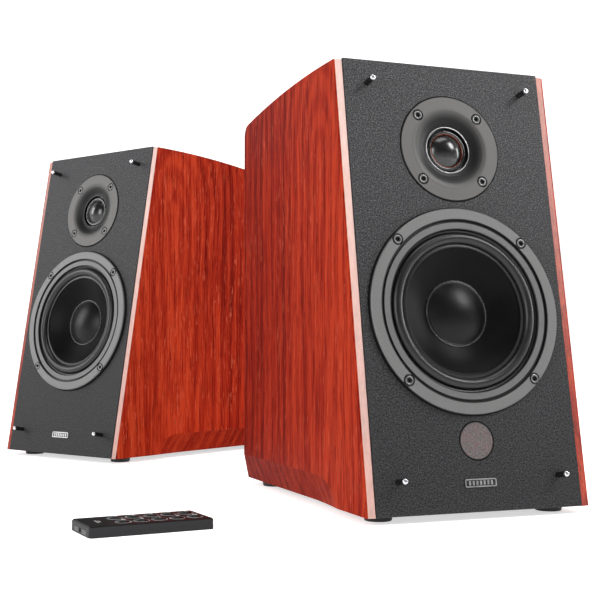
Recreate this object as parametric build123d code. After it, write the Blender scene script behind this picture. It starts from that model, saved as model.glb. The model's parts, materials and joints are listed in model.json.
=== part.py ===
from build123d import *
from math import cos, radians, sin, sqrt
import os

# A pair of two-way desktop speakers and a card remote, in millimetres.
# Set frame: +Z up, z = 0 on the desktop, -Y is the way the active speaker faces, +X to the
# right of someone looking at its front. The origin is under the middle of the set's own box.
# Each speaker is first built about its own foot frame: x = 0 on its middle plane, y = 0 at the
# baffle's bottom front edge, y growing towards the rear, z = 0 on the desktop.

# ---------------------------------------------------------------- driving dimensions: cabinet
BAFFLE_WIDTH = 157.0
BAFFLE_HEIGHT = 317.5        # measured up the slope
BAFFLE_TILT = 10.0           # degrees back from the vertical
BAFFLE_THICKNESS = 15.0
BAFFLE_EDGE_ROUND = 1.2
CABINET_DEPTH = 250.0        # from the baffle's bottom front edge to the rear face
REAR_HEIGHT = 300.5          # desktop to the rear top corner
TOP_CROWN = 4.0              # rise of the top's arc above its chord
TOP_STEP = 1.2               # the baffle stands this much above the top's front end
REAR_CORNER_RADIUS = 10.0
FOOT_HEIGHT = 5.0
FOOT_RADIUS = 10.0
FOOT_TAPER = 0.8             # bottom of a foot is this much smaller in radius
FOOT_INSET_X = 18.5          # foot centre to the outside of the side panel
FOOT_INSET_Y = 24.0          # foot centre to the front and rear ends of the underside
WALL = 12.0                  # top, bottom and rear walls
SIDE_THICKNESS = 12.0
SIDE_LIP = 6.0               # width of the side panel's lip beside the baffle
SIDE_SETBACK = 0.8           # the lip's front end stands this far behind the baffle's face
SIDE_TAPER_DEPTH = 2.0       # the lip reaches full width this far behind the baffle's face
SIDE_TAPER_BULGE = 0.2       # how far the lip's rounded front stands out of a straight taper
FACET_HEIGHT = 19.5          # height of the shallow facet along the side panel's foot
FACET_INSET = 4.0            # how far that facet leans in at the bottom edge
FACET_START = 42.0           # where the facet begins, behind the baffle's bottom edge
FACET_RUNOUT = 46.0          # length over which it rises to its full height

# ---------------------------------------------------------------- driving dimensions: woofer
WOOFER_UP = 138.0            # centre, up the slope from the baffle's bottom edge
WOOFER_FLANGE_RADIUS = 72.8
WOOFER_FLANGE_PROUD = 3.3
WOOFER_SCREW_RADIUS = 68.8
GROOVE_OUTER_RADIUS = 64.4
GROOVE_INNER_RADIUS = 62.7
GROOVE_DEPTH = 1.7
SURROUND_SEAT_RADIUS = 57.5
SURROUND_SEAT_WIDTH = 4.0
SURROUND_SEAT_DEPTH = 1.0    # behind the baffle's face
BASKET_BODY_RADIUS = 59.5
BASKET_DEPTH = 45.0
BASKET_WALL = 2.0
BASKET_FOOT_RADIUS = 38.0
BASKET_WINDOWS = 6
WINDOW_LENGTH = 15.0
WINDOW_WIDTH = 37.0
SPIDER_DEPTH = 30.0
SPIDER_RADIUS = 43.5
SPIDER_THICKNESS = 0.8
SURROUND_THICKNESS = 1.0
CONE_RIM_RADIUS = 47.6
CONE_RIM_WIDTH = 2.8
CONE_THICKNESS = 1.0
CONE_NECK_DEPTH = 20.0
CAP_RING_RADIUS = 22.8
CAP_RING_DEPTH = 12.0
CAP_RISE = 6.2
CAP_THICKNESS = 0.8
COIL_RADIUS = 13.0           # outside of the voice-coil former
COIL_WALL = 0.5
COIL_WINDING = 0.5
COIL_LENGTH = 8.0
COIL_GAP_OUT = 0.7
COIL_GAP_IN = 0.5
TOP_PLATE = 5.0
MAGNET_RADIUS = 42.5
MAGNET_BORE = 22.0
MAGNET_HEIGHT = 15.0
YOKE_PLATE = 5.0
YOKE_RADIUS = 40.0
WOOFER_STROKE = 3.0          # each way

# ---------------------------------------------------------------- driving dimensions: tweeter
TWEETER_UP = 255.5
TWEETER_FLANGE_RADIUS = 38.8
TWEETER_FLANGE_THICKNESS = 4.3
TWEETER_FLANGE_PROUD = 0.8
TWEETER_SCREW_RADIUS = 33.3
DISH_RADIUS = 29.0
DISH_THROAT = 16.6
DISH_DEPTH = 4.2             # dish's floor below the flange's face
TWEETER_BODY_RADIUS = 28.5
TWEETER_BODY_DEPTH = 7.0     # back of the flange's boss behind the baffle's face
DOME_RADIUS = 12.5
DOME_RISE = 5.3
DOME_BASE_DEPTH = 5.6
DOME_THICKNESS = 0.6
DOME_ROLL_WIDTH = 3.2
DOME_FORMER_WALL = 0.3
DOME_STROKE = 0.3            # each way
TWEETER_MAGNET_HEIGHT = 12.0
TWEETER_PLATE = 4.0

# ---------------------------------------------------------------- driving dimensions: baffle trim
PEG_ACROSS = 122.8
PEG_UP_LOW = 22.4
PEG_UP_HIGH = 300.0
PEG_RADIUS = 2.05
PEG_LENGTH = 12.0
PEG_TIP = 1.4
PEG_ROOT = 8.0
PEG_ROOT_RADIUS = 1.6
WINDOW_UP = 47.8
WINDOW_RADIUS = 12.75
RECEIVER_THICKNESS = 3.0
SCREW_HEAD_RADIUS = 3.6
SCREW_HEAD_HEIGHT = 2.1
SCREW_SHANK_RADIUS = 1.9
SCREW_LENGTH = 13.0
SCREW_HEX = 3.0              # across flats

# ---------------------------------------------------------------- driving dimensions: rear
PORT_UP = 254.0              # above the desktop
PORT_BORE = 17.5
PORT_WALL = 2.5
PORT_FLANGE_RADIUS = 27.0
PORT_FLANGE = 2.5
PORT_LENGTH = 95.0
PORT_FLARE = 5.0
PLATE_WIDTH = 128.0
PLATE_HEIGHT = 186.0
PLATE_BOTTOM = 24.0          # above the desktop
PLATE_THICKNESS = 2.5
PLATE_LAND = 7.0             # how far a plate laps the rear wall round its opening
PLATE_CORNER = 4.0
TERMINAL_SIZE = 70.0
TERMINAL_UP = 96.0
KNOB_ROW_UP = 188.0
KNOB_SPACING = 40.0
KNOB_RADIUS = 8.5
VOLUME_RADIUS = 10.5
KNOB_LENGTH = 13.0
KNOB_GAP = 0.6               # knob to plate
SHAFT_RADIUS = 3.0
SHAFT_LENGTH = 12.0          # from the knob's back into the potentiometer
POT_SIZE = 16.0
BOARD_SIZE = (104.0, 150.0)
BOARD_THICKNESS = 1.6
BOARD_STANDOFF = 14.0        # plate's back to the board's face
PHONO_UP = 148.0
PHONO_SPACING = 14.0
PHONO_ROW_DROP = 18.0
PHONO_X = -42.0
PHONO_BARREL_RADIUS = 4.15
PHONO_BARREL_LENGTH = 9.0
PHONO_BORE = 1.65
LINK_X = 36.0
LINK_UP = 141.0
LINK_BORE = 6.6
LINK_SHELL = 9.0
LINK_DEPTH = 10.0
INLET_X = 27.0
INLET_UP = 52.0
INLET_BEZEL = (30.0, 20.0)
INLET_POCKET = (20.6, 8.8)
INLET_DEPTH = 12.0
INLET_WALL = 1.8
INLET_PIN_SPACING = 12.4
INLET_PIN_RADIUS = 1.2
ROCKER_X = -30.0
ROCKER_UP = 52.0
ROCKER_BEZEL = (22.0, 28.0)
ROCKER_SIZE = (13.0, 18.0)
ROCKER_GAP = 0.5
ROCKER_FRAME = 1.5           # frame's height over the plate
ROCKER_BODY = 14.0
ROCKER_PIVOT = 1.5           # pivot behind the rear wall's face
ROCKER_RISE = 3.4            # face above the pivot
ROCKER_DROP = 5.0
ROCKER_TILT = 9.0            # degrees each side of the middle; it rests with its lower end in
TRANSFORMER_RADIUS = 38.0
TRANSFORMER_BORE = 12.0
TRANSFORMER_HEIGHT = 34.0
TRANSFORMER_Y = 158.0

# ---------------------------------------------------------------- driving dimensions: remote
REMOTE_LENGTH = 82.0
REMOTE_WIDTH = 40.0
REMOTE_HEIGHT = 7.0
REMOTE_CORNER = 2.5
REMOTE_BEVEL = 1.0
BUTTON_COLUMNS = 5
BUTTON_PITCH_X = 12.0
BUTTON_PITCH_Y = 16.2
BUTTON_FIRST_X = 25.2        # first column from the battery end
BUTTON_ROWS_SHIFT = -0.2     # middle of the two rows from the remote's middle line
BUTTON_RADIUS = 4.5
BUTTON_GAP = 0.3
BUTTON_DOME = 1.5
BUTTON_PROUD = 0.1           # the dome's edge above the case's top
BUTTON_TRAVEL = 0.6
BUTTON_SPARE = 0.15          # left under a pressed button
REMOTE_BOARD = 0.7
REMOTE_BOARD_LOW = 4.2
TRAY_LENGTH = 27.0
TRAY_WIDTH = 25.0
TRAY_HEIGHT = 3.0
TRAY_FLOOR = 0.7             # tray's underside above the desktop
TRAY_BASE = 0.4              # tray's own floor under the cell
TRAY_CLEARANCE = 0.2
CELL_RADIUS = 10.0
CELL_HEIGHT = 2.5
CELL_CLEARANCE = 0.35

# ---------------------------------------------------------------- where the pieces of the set stand
PASSIVE_FROM_ACTIVE = (-197.0, 509.0)
PASSIVE_TURN = -60.0
REMOTE_FROM_ACTIVE = (-222.0, 44.0)
REMOTE_TURN = 6.0

# ---------------------------------------------------------------- clearances
PANEL_GAP = 0.5              # baffle to the side panel's lip
RECESS_GAP = 0.3             # a flange in its recess
BORE_GAP = 0.5               # a driver body in its cut-out
SCREW_GAP = 0.3              # a shank in a flange
THREAD_GAP = 0.05            # a shank in its pilot hole
PILOT_SPARE = 0.3            # pilot hole past the shank's end
SHAFT_GAP = 0.08             # a turning shaft in its bore
SOFT_GAP = 0.3               # a bending piece beside what moves in it

# ---------------------------------------------------------------- worked-out sizes
TILT = radians(BAFFLE_TILT)
HALF_BAFFLE = BAFFLE_WIDTH / 2
LIP_INNER = HALF_BAFFLE + PANEL_GAP
HALF_WIDTH = LIP_INNER + SIDE_LIP
SIDE_INNER = HALF_WIDTH - SIDE_THICKNESS
BAFFLE_FACE = Plane(
    origin=(0, 0, FOOT_HEIGHT), x_dir=(1, 0, 0), z_dir=(0, -cos(TILT), sin(TILT))
)
SIDE_VIEW = Plane(origin=(0, 0, 0), x_dir=(0, 1, 0), z_dir=(1, 0, 0))
REAR_VIEW = Plane(origin=(0, CABINET_DEPTH, 0), x_dir=(-1, 0, 0), z_dir=(0, 1, 0))
TOP_PLATE_DEPTH = BASKET_DEPTH
MAGNET_DEPTH = TOP_PLATE_DEPTH + TOP_PLATE
YOKE_DEPTH = MAGNET_DEPTH + MAGNET_HEIGHT
POLE_RADIUS = COIL_RADIUS - COIL_WALL - COIL_GAP_IN
GAP_RADIUS = COIL_RADIUS + COIL_WINDING + COIL_GAP_OUT
BUTTON_FLOOR = REMOTE_BOARD_LOW + REMOTE_BOARD
BUTTON_REST = BUTTON_FLOOR + BUTTON_TRAVEL + BUTTON_SPARE


def on_baffle(shape, up, across=0.0, out=0.0):
    """Places a shape, built about its own z axis, on the baffle's face."""
    return BAFFLE_FACE.location * Pos(across, up, out) * shape


def turned(points):
    """Revolves a closed outline of (radius, height) points about the z axis."""
    outline = make_face(Plane.XZ * Polyline(*points, close=True))
    return revolve(outline, Axis.Z)


def slab(outline, half_width):
    """Extrudes an outline drawn in the side view to both sides of the middle plane."""
    return extrude(SIDE_VIEW * outline, amount=half_width, both=True)


def slope_point(up, behind):
    """A point of the side view, given up the baffle and behind its face."""
    return (
        up * sin(TILT) + behind * cos(TILT),
        FOOT_HEIGHT + up * cos(TILT) - behind * sin(TILT),
    )


def front_strip(behind):
    """Everything in the side view in front of a line parallel to the baffle's face."""
    far = CABINET_DEPTH
    corners = [(-far, -far), (2 * far, -far), (2 * far, behind), (-far, behind)]
    return make_face(Polyline(*[slope_point(*c) for c in corners], close=True))


def cabinet_outline(behind):
    """The cabinet's side outline: arched top, rounded rear top corner, leaning front."""
    front_bottom = slope_point(0, 0)
    front_top = slope_point(BAFFLE_HEIGHT - TOP_STEP, 0)
    rear_top = (CABINET_DEPTH, REAR_HEIGHT)
    rear_bottom = (CABINET_DEPTH, FOOT_HEIGHT)
    chord = Vector(*rear_top) - Vector(*front_top)
    lift = Vector(-chord.Y, chord.X).normalized() * TOP_CROWN
    crown = ThreePointArc(front_top, Vector(*front_top) + chord * 0.5 + lift, rear_top)
    sides = Polyline(rear_top, rear_bottom, front_bottom, front_top)
    face = make_face([crown, sides])
    corner = face.vertices().sort_by_distance(Vector(*rear_top))[0]
    return fillet(corner, REAR_CORNER_RADIUS) - front_strip(behind)


def inner_outline():
    """The hollow of the cabinet in the side view: the outline shrunk by the wall."""
    front = slope_point(0, 0)[0] + BAFFLE_THICKNESS / cos(TILT)
    chord_front = slope_point(BAFFLE_HEIGHT - TOP_STEP, 0)
    floor = FOOT_HEIGHT + WALL
    rear = CABINET_DEPTH - WALL
    front_top = (chord_front[0], chord_front[1] - WALL)
    rear_top = (rear, REAR_HEIGHT - WALL)
    chord = Vector(*rear_top) - Vector(*front_top)
    lift = Vector(-chord.Y, chord.X).normalized() * TOP_CROWN
    crown = ThreePointArc(front_top, Vector(*front_top) + chord * 0.5 + lift, rear_top)
    mouth = (-front, front_top[1])
    sides = Polyline(rear_top, (rear, floor), (-front, floor), mouth, front_top)
    return make_face([crown, sides])


# ---------------------------------------------------------------- cabinet


def side_panel(hand):
    """Veneered side panel. hand is -1 for the left and 1 for the right."""
    panel = extrude(SIDE_VIEW * cabinet_outline(SIDE_SETBACK), amount=SIDE_THICKNESS)
    panel = Pos(SIDE_INNER, 0, 0) * panel
    rebate = extrude(SIDE_VIEW * front_strip(BAFFLE_THICKNESS), amount=LIP_INNER)
    panel = panel - rebate - taper_cutter() - facet_cutter()
    return panel if hand > 0 else mirror(panel, Plane.YZ)


def taper_cutter():
    """Leaves the lip's front end rounded back to its full width."""
    start = (LIP_INNER, -SIDE_SETBACK)
    end = (HALF_WIDTH, -SIDE_TAPER_DEPTH)
    run = Vector(*end) - Vector(*start)
    outward = Vector(-run.Y, run.X).normalized() * SIDE_TAPER_BULGE
    arc = ThreePointArc(start, Vector(*start) + run * 0.5 + outward, end)
    beyond = HALF_WIDTH + SIDE_LIP
    rest = Polyline(end, (beyond, end[1]), (beyond, SIDE_LIP), (start[0], SIDE_LIP), start)
    section = make_face([arc, rest])
    # The section lies across the slope, so it is swept along the slope.
    along = Plane(
        origin=(0, 0, FOOT_HEIGHT), x_dir=(1, 0, 0), z_dir=(0, -sin(TILT), -cos(TILT))
    )
    return extrude(along * section, amount=2 * BAFFLE_HEIGHT, both=True)


def facet_outline(height, start, runout):
    """Outline of the facet in the side view, run on below the underside and the rear."""
    below = FOOT_HEIGHT - FACET_HEIGHT
    far = CABINET_DEPTH + FACET_RUNOUT
    front = (start, below)
    shoulder = (start + runout, FOOT_HEIGHT + height)
    rise = shoulder[1] - front[1]
    bend = (start + 0.35 * runout, front[1] + 0.72 * rise)
    curve = ThreePointArc(front, bend, shoulder)
    rest = Polyline(shoulder, (far, shoulder[1]), (far, below), front)
    return make_face([curve, rest])


def facet_cutter():
    """A shallow lean-in of the side panel's foot, rising from nothing near the front."""
    outer = facet_outline(FACET_HEIGHT, FACET_START, FACET_RUNOUT)
    inner = facet_outline(0.0, FACET_START + FACET_RUNOUT / 2, FACET_RUNOUT)
    outer = Pos(HALF_WIDTH, 0, 0) * (SIDE_VIEW * outer)
    inner = Pos(HALF_WIDTH - FACET_INSET, 0, 0) * (SIDE_VIEW * inner)
    scoop = loft([inner, outer], ruled=True)
    spill = extrude(outer, amount=SIDE_THICKNESS)
    return scoop + spill


def carcass(rear_cuts):
    """Top, bottom and rear walls, folded from one board."""
    shell = slab(cabinet_outline(BAFFLE_THICKNESS), SIDE_INNER)
    hollow = slab(inner_outline(), HALF_WIDTH)
    shell = shell - hollow
    for cut in rear_cuts:
        shell = shell - cut
    return shell


def front_baffle(window):
    """The leaning front board, with its cut-outs, recesses and pilot holes."""
    board = [
        slope_point(BAFFLE_HEIGHT, 0),
        slope_point(BAFFLE_HEIGHT, BAFFLE_THICKNESS),
        (BAFFLE_THICKNESS / cos(TILT), FOOT_HEIGHT),
        (0, FOOT_HEIGHT),
    ]
    baffle = slab(make_face(Polyline(*board, close=True)), HALF_BAFFLE)
    front_face = baffle.faces().sort_by(Axis.Y)[0]
    baffle = fillet(front_face.edges(), BAFFLE_EDGE_ROUND)
    through = 2 * BAFFLE_THICKNESS
    baffle -= on_baffle(Cylinder(BASKET_BODY_RADIUS + BORE_GAP, 2 * through), WOOFER_UP)
    body = TWEETER_BODY_RADIUS + BORE_GAP
    baffle -= on_baffle(Cylinder(body, 2 * through), TWEETER_UP)
    recess_depth = TWEETER_FLANGE_THICKNESS - TWEETER_FLANGE_PROUD
    recess = Cylinder(TWEETER_FLANGE_RADIUS + RECESS_GAP, 2 * recess_depth)
    baffle -= on_baffle(recess, TWEETER_UP)
    for across, up, seat in driver_screw_seats():
        pilot = Cylinder(SCREW_SHANK_RADIUS + THREAD_GAP, 2 * (SCREW_LENGTH + PILOT_SPARE - seat))
        baffle -= on_baffle(pilot, up, across)
    for across, up in peg_places():
        baffle -= on_baffle(Cylinder(PEG_ROOT_RADIUS, 2 * PEG_ROOT), up, across)
    if window:
        hole = Cylinder(WINDOW_RADIUS + RECESS_GAP, 2 * RECEIVER_THICKNESS)
        sight = Cylinder(WINDOW_RADIUS - 3.0, 2 * through)
        baffle -= on_baffle(hole + sight, WINDOW_UP)
    return baffle


def peg_places():
    """Grille peg centres on the baffle."""
    half = PEG_ACROSS / 2
    return [(x, up) for up in (PEG_UP_LOW, PEG_UP_HIGH) for x in (-half, half)]


def grille_pegs():
    """Four pegs with rounded tips, their narrower roots pushed into the baffle."""
    group = []
    for across, up in peg_places():
        peg = Pos(0, 0, PEG_LENGTH / 2) * Cylinder(PEG_RADIUS, PEG_LENGTH)
        tip = peg.edges().filter_by(GeomType.CIRCLE).sort_by(Axis.Z)[-1]
        root = Pos(0, 0, -PEG_ROOT / 2) * Cylinder(PEG_ROOT_RADIUS, PEG_ROOT)
        group.append(on_baffle(fillet(tip, PEG_TIP) + root, up, across))
    return group


def feet():
    """Four rubber pads under the underside's corners."""
    foot = Cone(FOOT_RADIUS - FOOT_TAPER, FOOT_RADIUS, FOOT_HEIGHT)
    foot = fillet(foot.edges().sort_by(Axis.Z)[0], 0.6)
    x = HALF_WIDTH - FOOT_INSET_X
    rows = (FOOT_INSET_Y, CABINET_DEPTH - FOOT_INSET_Y)
    return [Pos(side * x, y, FOOT_HEIGHT / 2) * foot for side in (-1, 1) for y in rows]


# ---------------------------------------------------------------- screws


def diagonal(radius):
    """The four 45-degree places on a circle."""
    k = radius / sqrt(2)
    return [(x * k, y * k) for x in (-1, 1) for y in (-1, 1)]


def driver_screw_seats():
    """Each driver screw as (across, up, height of its head's seat over the baffle)."""
    woofer_seat = WOOFER_FLANGE_PROUD - SCREW_HEAD_HEIGHT - 0.2
    tweeter_seat = TWEETER_FLANGE_PROUD - SCREW_HEAD_HEIGHT - 0.2
    seats = [(x, WOOFER_UP + y, woofer_seat) for x, y in diagonal(WOOFER_SCREW_RADIUS)]
    seats += [(x, TWEETER_UP + y, tweeter_seat) for x, y in diagonal(TWEETER_SCREW_RADIUS)]
    return seats


def screw(length=SCREW_LENGTH):
    """A socket-head screw with its head's underside at z = 0, pointing down."""
    head = Pos(0, 0, SCREW_HEAD_HEIGHT / 2) * Cylinder(SCREW_HEAD_RADIUS, SCREW_HEAD_HEIGHT)
    head = fillet(head.edges().filter_by(GeomType.CIRCLE).sort_by(Axis.Z)[-1], 0.5)
    shank = Pos(0, 0, -length / 2) * Cylinder(SCREW_SHANK_RADIUS, length)
    hexagon = extrude(RegularPolygon(SCREW_HEX / sqrt(3), 6), amount=SCREW_HEAD_HEIGHT)
    return head + shank - Pos(0, 0, SCREW_HEAD_HEIGHT * 0.35) * hexagon


def screw_pocket(depth):
    """The head's pocket and the shank's clearance hole through a flange."""
    pocket = Pos(0, 0, depth / 2) * Cylinder(SCREW_HEAD_RADIUS + 0.6, depth)
    return pocket + Cylinder(SCREW_SHANK_RADIUS + SCREW_GAP, 4 * depth)


def driver_screws():
    """The eight screws that hold the two drivers."""
    return [on_baffle(screw(), up, x, seat) for x, up, seat in driver_screw_seats()]


# ---------------------------------------------------------------- woofer


def woofer_basket():
    """Pressed frame: stepped flange, windowed wall, spider ledge and motor seat."""
    proud = WOOFER_FLANGE_PROUD
    rim = WOOFER_FLANGE_RADIUS
    seat = SURROUND_SEAT_RADIUS - SURROUND_SEAT_WIDTH
    inner = SPIDER_RADIUS + SOFT_GAP
    foot = BASKET_FOOT_RADIUS
    foot_front = -(BASKET_DEPTH - BASKET_WALL)
    outline = [
        (rim, 0),
        (rim, proud - 1.1),
        (rim - 1.1, proud),
        (GROOVE_OUTER_RADIUS, proud),
        (GROOVE_OUTER_RADIUS, proud - GROOVE_DEPTH),
        (GROOVE_INNER_RADIUS, proud - GROOVE_DEPTH),
        (GROOVE_INNER_RADIUS, proud - 0.7),
        (SURROUND_SEAT_RADIUS + 0.5, proud - 0.7),
        (SURROUND_SEAT_RADIUS, proud - 1.2),
        (SURROUND_SEAT_RADIUS, -SURROUND_SEAT_DEPTH),
        (seat, -SURROUND_SEAT_DEPTH),
        (seat, -SURROUND_SEAT_DEPTH - BASKET_WALL),
        (inner, -SPIDER_DEPTH + BASKET_WALL),
        (inner, -SPIDER_DEPTH),
        (foot + 1.0, -SPIDER_DEPTH),
        (foot - BASKET_WALL, foot_front),
        (MAGNET_BORE, foot_front),
        (MAGNET_BORE, -BASKET_DEPTH),
        (foot, -BASKET_DEPTH),
        (foot + 1.0 + BASKET_WALL, -SPIDER_DEPTH - BASKET_WALL),
        (inner + BASKET_WALL, -SPIDER_DEPTH - BASKET_WALL + 1.0),
        (BASKET_BODY_RADIUS - BASKET_WALL, -SURROUND_SEAT_DEPTH - 2 * BASKET_WALL),
        (BASKET_BODY_RADIUS, -SURROUND_SEAT_DEPTH - BASKET_WALL),
        (BASKET_BODY_RADIUS, 0),
    ]
    basket = turned(outline)
    window = Box(2 * BASKET_WALL + 14.0, WINDOW_WIDTH, WINDOW_LENGTH)
    middle = Pos((inner + BASKET_BODY_RADIUS) / 2, 0, -(SPIDER_DEPTH - BASKET_WALL) / 2 - 2.0)
    for step in range(BASKET_WINDOWS):
        basket -= Rot(0, 0, step * 360.0 / BASKET_WINDOWS) * middle * window
    seat_height = driver_screw_seats()[0][2]
    for x, y in diagonal(WOOFER_SCREW_RADIUS):
        basket -= Pos(x, y, seat_height) * screw_pocket(WOOFER_FLANGE_PROUD)
    return on_baffle(basket, WOOFER_UP)


def woofer_surround():
    """Half-roll of rubber from the basket's seat to the cone's rim."""
    lip_z = -SURROUND_SEAT_DEPTH
    outer = SURROUND_SEAT_RADIUS - SOFT_GAP / 2
    middle = (outer - 1.0 + CONE_RIM_RADIUS) / 2
    radius = outer - 1.0 - middle
    thick = SURROUND_THICKNESS
    roll = Pos(middle, lip_z) * (Circle(radius) - Circle(radius - thick))
    roll -= Pos(middle, lip_z - radius) * Rectangle(4 * radius, 2 * radius)
    outer_lip = Pos(outer - 1.0, lip_z + thick / 2) * Rectangle(2.0, thick)
    rim_in = CONE_RIM_RADIUS - CONE_RIM_WIDTH
    rim_width = CONE_RIM_WIDTH + thick / 2
    inner_lip = Pos(rim_in + rim_width / 2, lip_z + thick / 2) * Rectangle(rim_width, thick)
    section = roll + outer_lip + inner_lip
    surround = revolve(Plane.XZ * section, Axis.Z)
    return on_baffle(surround, WOOFER_UP)


def woofer_cone():
    """Paper cone with a flat rim and a curved flare, and the voice-coil former on its neck."""
    rim = -SURROUND_SEAT_DEPTH
    rim_in = CONE_RIM_RADIUS - CONE_RIM_WIDTH
    ring = (CAP_RING_RADIUS, -CAP_RING_DEPTH)
    neck = (COIL_RADIUS, -CONE_NECK_DEPTH)
    thick = CONE_THICKNESS
    front = [(CONE_RIM_RADIUS, rim), (rim_in, rim), ring, neck]
    back = [
        (COIL_RADIUS, neck[1] - thick),
        (ring[0] + thick / 2, ring[1] - thick),
        (rim_in + thick / 2, rim - thick),
        (CONE_RIM_RADIUS, rim - thick),
    ]
    cone = turned(front + back)
    coil_end = -(MAGNET_DEPTH - 1.0)
    inside = COIL_RADIUS - COIL_WALL
    former = turned(
        [(inside, neck[1]), (COIL_RADIUS, neck[1]), (COIL_RADIUS, coil_end), (inside, coil_end)]
    )
    wound = COIL_RADIUS + COIL_WINDING
    top = coil_end + COIL_LENGTH
    winding = turned([(inside, top), (wound, top), (wound, coil_end), (inside, coil_end)])
    return on_baffle(cone + former + winding, WOOFER_UP)


def spherical_cap(radius, rise, thickness):
    """A thin dome whose edge has the given radius and lies at z = 0."""
    ball = (radius**2 + rise**2) / (2 * rise)
    centre = rise - ball
    shell = Pos(0, 0, centre) * (Sphere(ball) - Sphere(ball - thickness))
    return shell & (Pos(0, 0, ball) * Box(4 * ball, 4 * ball, 2 * ball))


def dust_cap():
    """Convex cap glued to the ring on the cone."""
    cap = spherical_cap(CAP_RING_RADIUS, CAP_RISE, CAP_THICKNESS)
    return on_baffle(cap, WOOFER_UP, 0, -CAP_RING_DEPTH)


def woofer_spider():
    """Corrugated disc that centres the coil, glued to its ledge in the basket."""
    inner = COIL_RADIUS + SOFT_GAP
    waves = 4
    base = -SPIDER_DEPTH
    flat = 3.0
    pitch = (SPIDER_RADIUS - flat - inner - flat) / (2 * waves)
    height = 2.0
    top = [(inner, base + SPIDER_THICKNESS)]
    for step in range(2 * waves + 1):
        rise = height if step % 2 else 0.0
        top.append((inner + flat + step * pitch, base + SPIDER_THICKNESS + rise))
    top.append((SPIDER_RADIUS, base + SPIDER_THICKNESS))
    bottom = [(r, z - SPIDER_THICKNESS) for r, z in reversed(top)]
    return on_baffle(turned(top + bottom), WOOFER_UP)


def woofer_motor():
    """Top plate, ferrite ring and yoke with its pole, stacked face to face."""
    top_plate = [
        (GAP_RADIUS, -TOP_PLATE_DEPTH),
        (YOKE_RADIUS, -TOP_PLATE_DEPTH),
        (YOKE_RADIUS, -MAGNET_DEPTH),
        (GAP_RADIUS, -MAGNET_DEPTH),
    ]
    magnet = [
        (MAGNET_BORE, -MAGNET_DEPTH),
        (MAGNET_RADIUS, -MAGNET_DEPTH),
        (MAGNET_RADIUS, -YOKE_DEPTH),
        (MAGNET_BORE, -YOKE_DEPTH),
    ]
    yoke = [
        (0, -TOP_PLATE_DEPTH),
        (POLE_RADIUS, -TOP_PLATE_DEPTH),
        (POLE_RADIUS, -YOKE_DEPTH),
        (YOKE_RADIUS, -YOKE_DEPTH),
        (YOKE_RADIUS, -YOKE_DEPTH - YOKE_PLATE),
        (0, -YOKE_DEPTH - YOKE_PLATE),
    ]
    return [on_baffle(turned(outline), WOOFER_UP) for outline in (top_plate, magnet, yoke)]


# ---------------------------------------------------------------- tweeter


def tweeter_faceplate():
    """Round flange with a dished throat and a boss that carries the motor."""
    proud = TWEETER_FLANGE_PROUD
    back = proud - TWEETER_FLANGE_THICKNESS
    rim = TWEETER_FLANGE_RADIUS
    floor = proud - DISH_DEPTH
    outline = [
        (rim, back),
        (rim, proud - 0.5),
        (rim - 0.5, proud),
        (DISH_RADIUS, proud),
        (DISH_RADIUS - 3.0, proud - 0.5),
        (DISH_THROAT + 3.0, floor + 0.6),
        (DISH_THROAT, floor),
        (DISH_THROAT, -TWEETER_BODY_DEPTH),
        (TWEETER_BODY_RADIUS, -TWEETER_BODY_DEPTH),
        (TWEETER_BODY_RADIUS, back),
    ]
    plate = turned(outline)
    seat = driver_screw_seats()[-1][2]
    for x, y in diagonal(TWEETER_SCREW_RADIUS):
        plate -= Pos(x, y, seat) * screw_pocket(TWEETER_FLANGE_THICKNESS)
    return on_baffle(plate, TWEETER_UP)


def tweeter_dome():
    """Soft dome with its narrow half-roll and the former of its coil."""
    cap = spherical_cap(DOME_RADIUS, DOME_RISE, DOME_THICKNESS)
    half = DOME_ROLL_WIDTH / 2
    ring = Circle(half) - Circle(half - DOME_THICKNESS)
    ring -= Pos(0, -DOME_ROLL_WIDTH) * Rectangle(4 * half, 2 * DOME_ROLL_WIDTH)
    roll = revolve(Plane.XZ * (Pos(DOME_RADIUS + half - 0.2, 0) * ring), Axis.Z)
    end = -(TWEETER_BODY_DEPTH + TWEETER_PLATE - DOME_BASE_DEPTH)
    inside = DOME_RADIUS - DOME_FORMER_WALL
    former = turned([(inside, 0.4), (DOME_RADIUS, 0.4), (DOME_RADIUS, end), (inside, end)])
    return on_baffle(cap + roll + former, TWEETER_UP, 0, -DOME_BASE_DEPTH)


def tweeter_motor():
    """Top plate, magnet and yoke behind the faceplate's boss."""
    gap_out = DOME_RADIUS + 0.5
    pole = DOME_RADIUS - DOME_FORMER_WALL - 0.4
    front = -TWEETER_BODY_DEPTH
    plate_back = front - TWEETER_PLATE
    magnet_back = plate_back - TWEETER_MAGNET_HEIGHT
    rim = TWEETER_BODY_RADIUS
    bore = gap_out + 3.0
    plate = [(gap_out, front), (rim, front), (rim, plate_back), (gap_out, plate_back)]
    magnet = [(bore, plate_back), (rim, plate_back), (rim, magnet_back), (bore, magnet_back)]
    yoke = [
        (0, front),
        (pole, front),
        (pole, magnet_back),
        (rim, magnet_back),
        (rim, magnet_back - TWEETER_PLATE),
        (0, magnet_back - TWEETER_PLATE),
    ]
    return [on_baffle(turned(outline), TWEETER_UP) for outline in (plate, magnet, yoke)]


# ---------------------------------------------------------------- active speaker's front


def receiver_window():
    """Round tinted window that lies flush in the baffle."""
    lens = Pos(0, 0, -RECEIVER_THICKNESS / 2) * Cylinder(WINDOW_RADIUS, RECEIVER_THICKNESS)
    front_edge = lens.edges().filter_by(GeomType.CIRCLE).sort_by(Axis.Z)[-1]
    return on_baffle(fillet(front_edge, 0.4), WINDOW_UP)


# ---------------------------------------------------------------- rear, drawn as seen from behind
# A place on the rear is (x, up): x is the speaker's own x, up is above the desktop.


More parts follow.
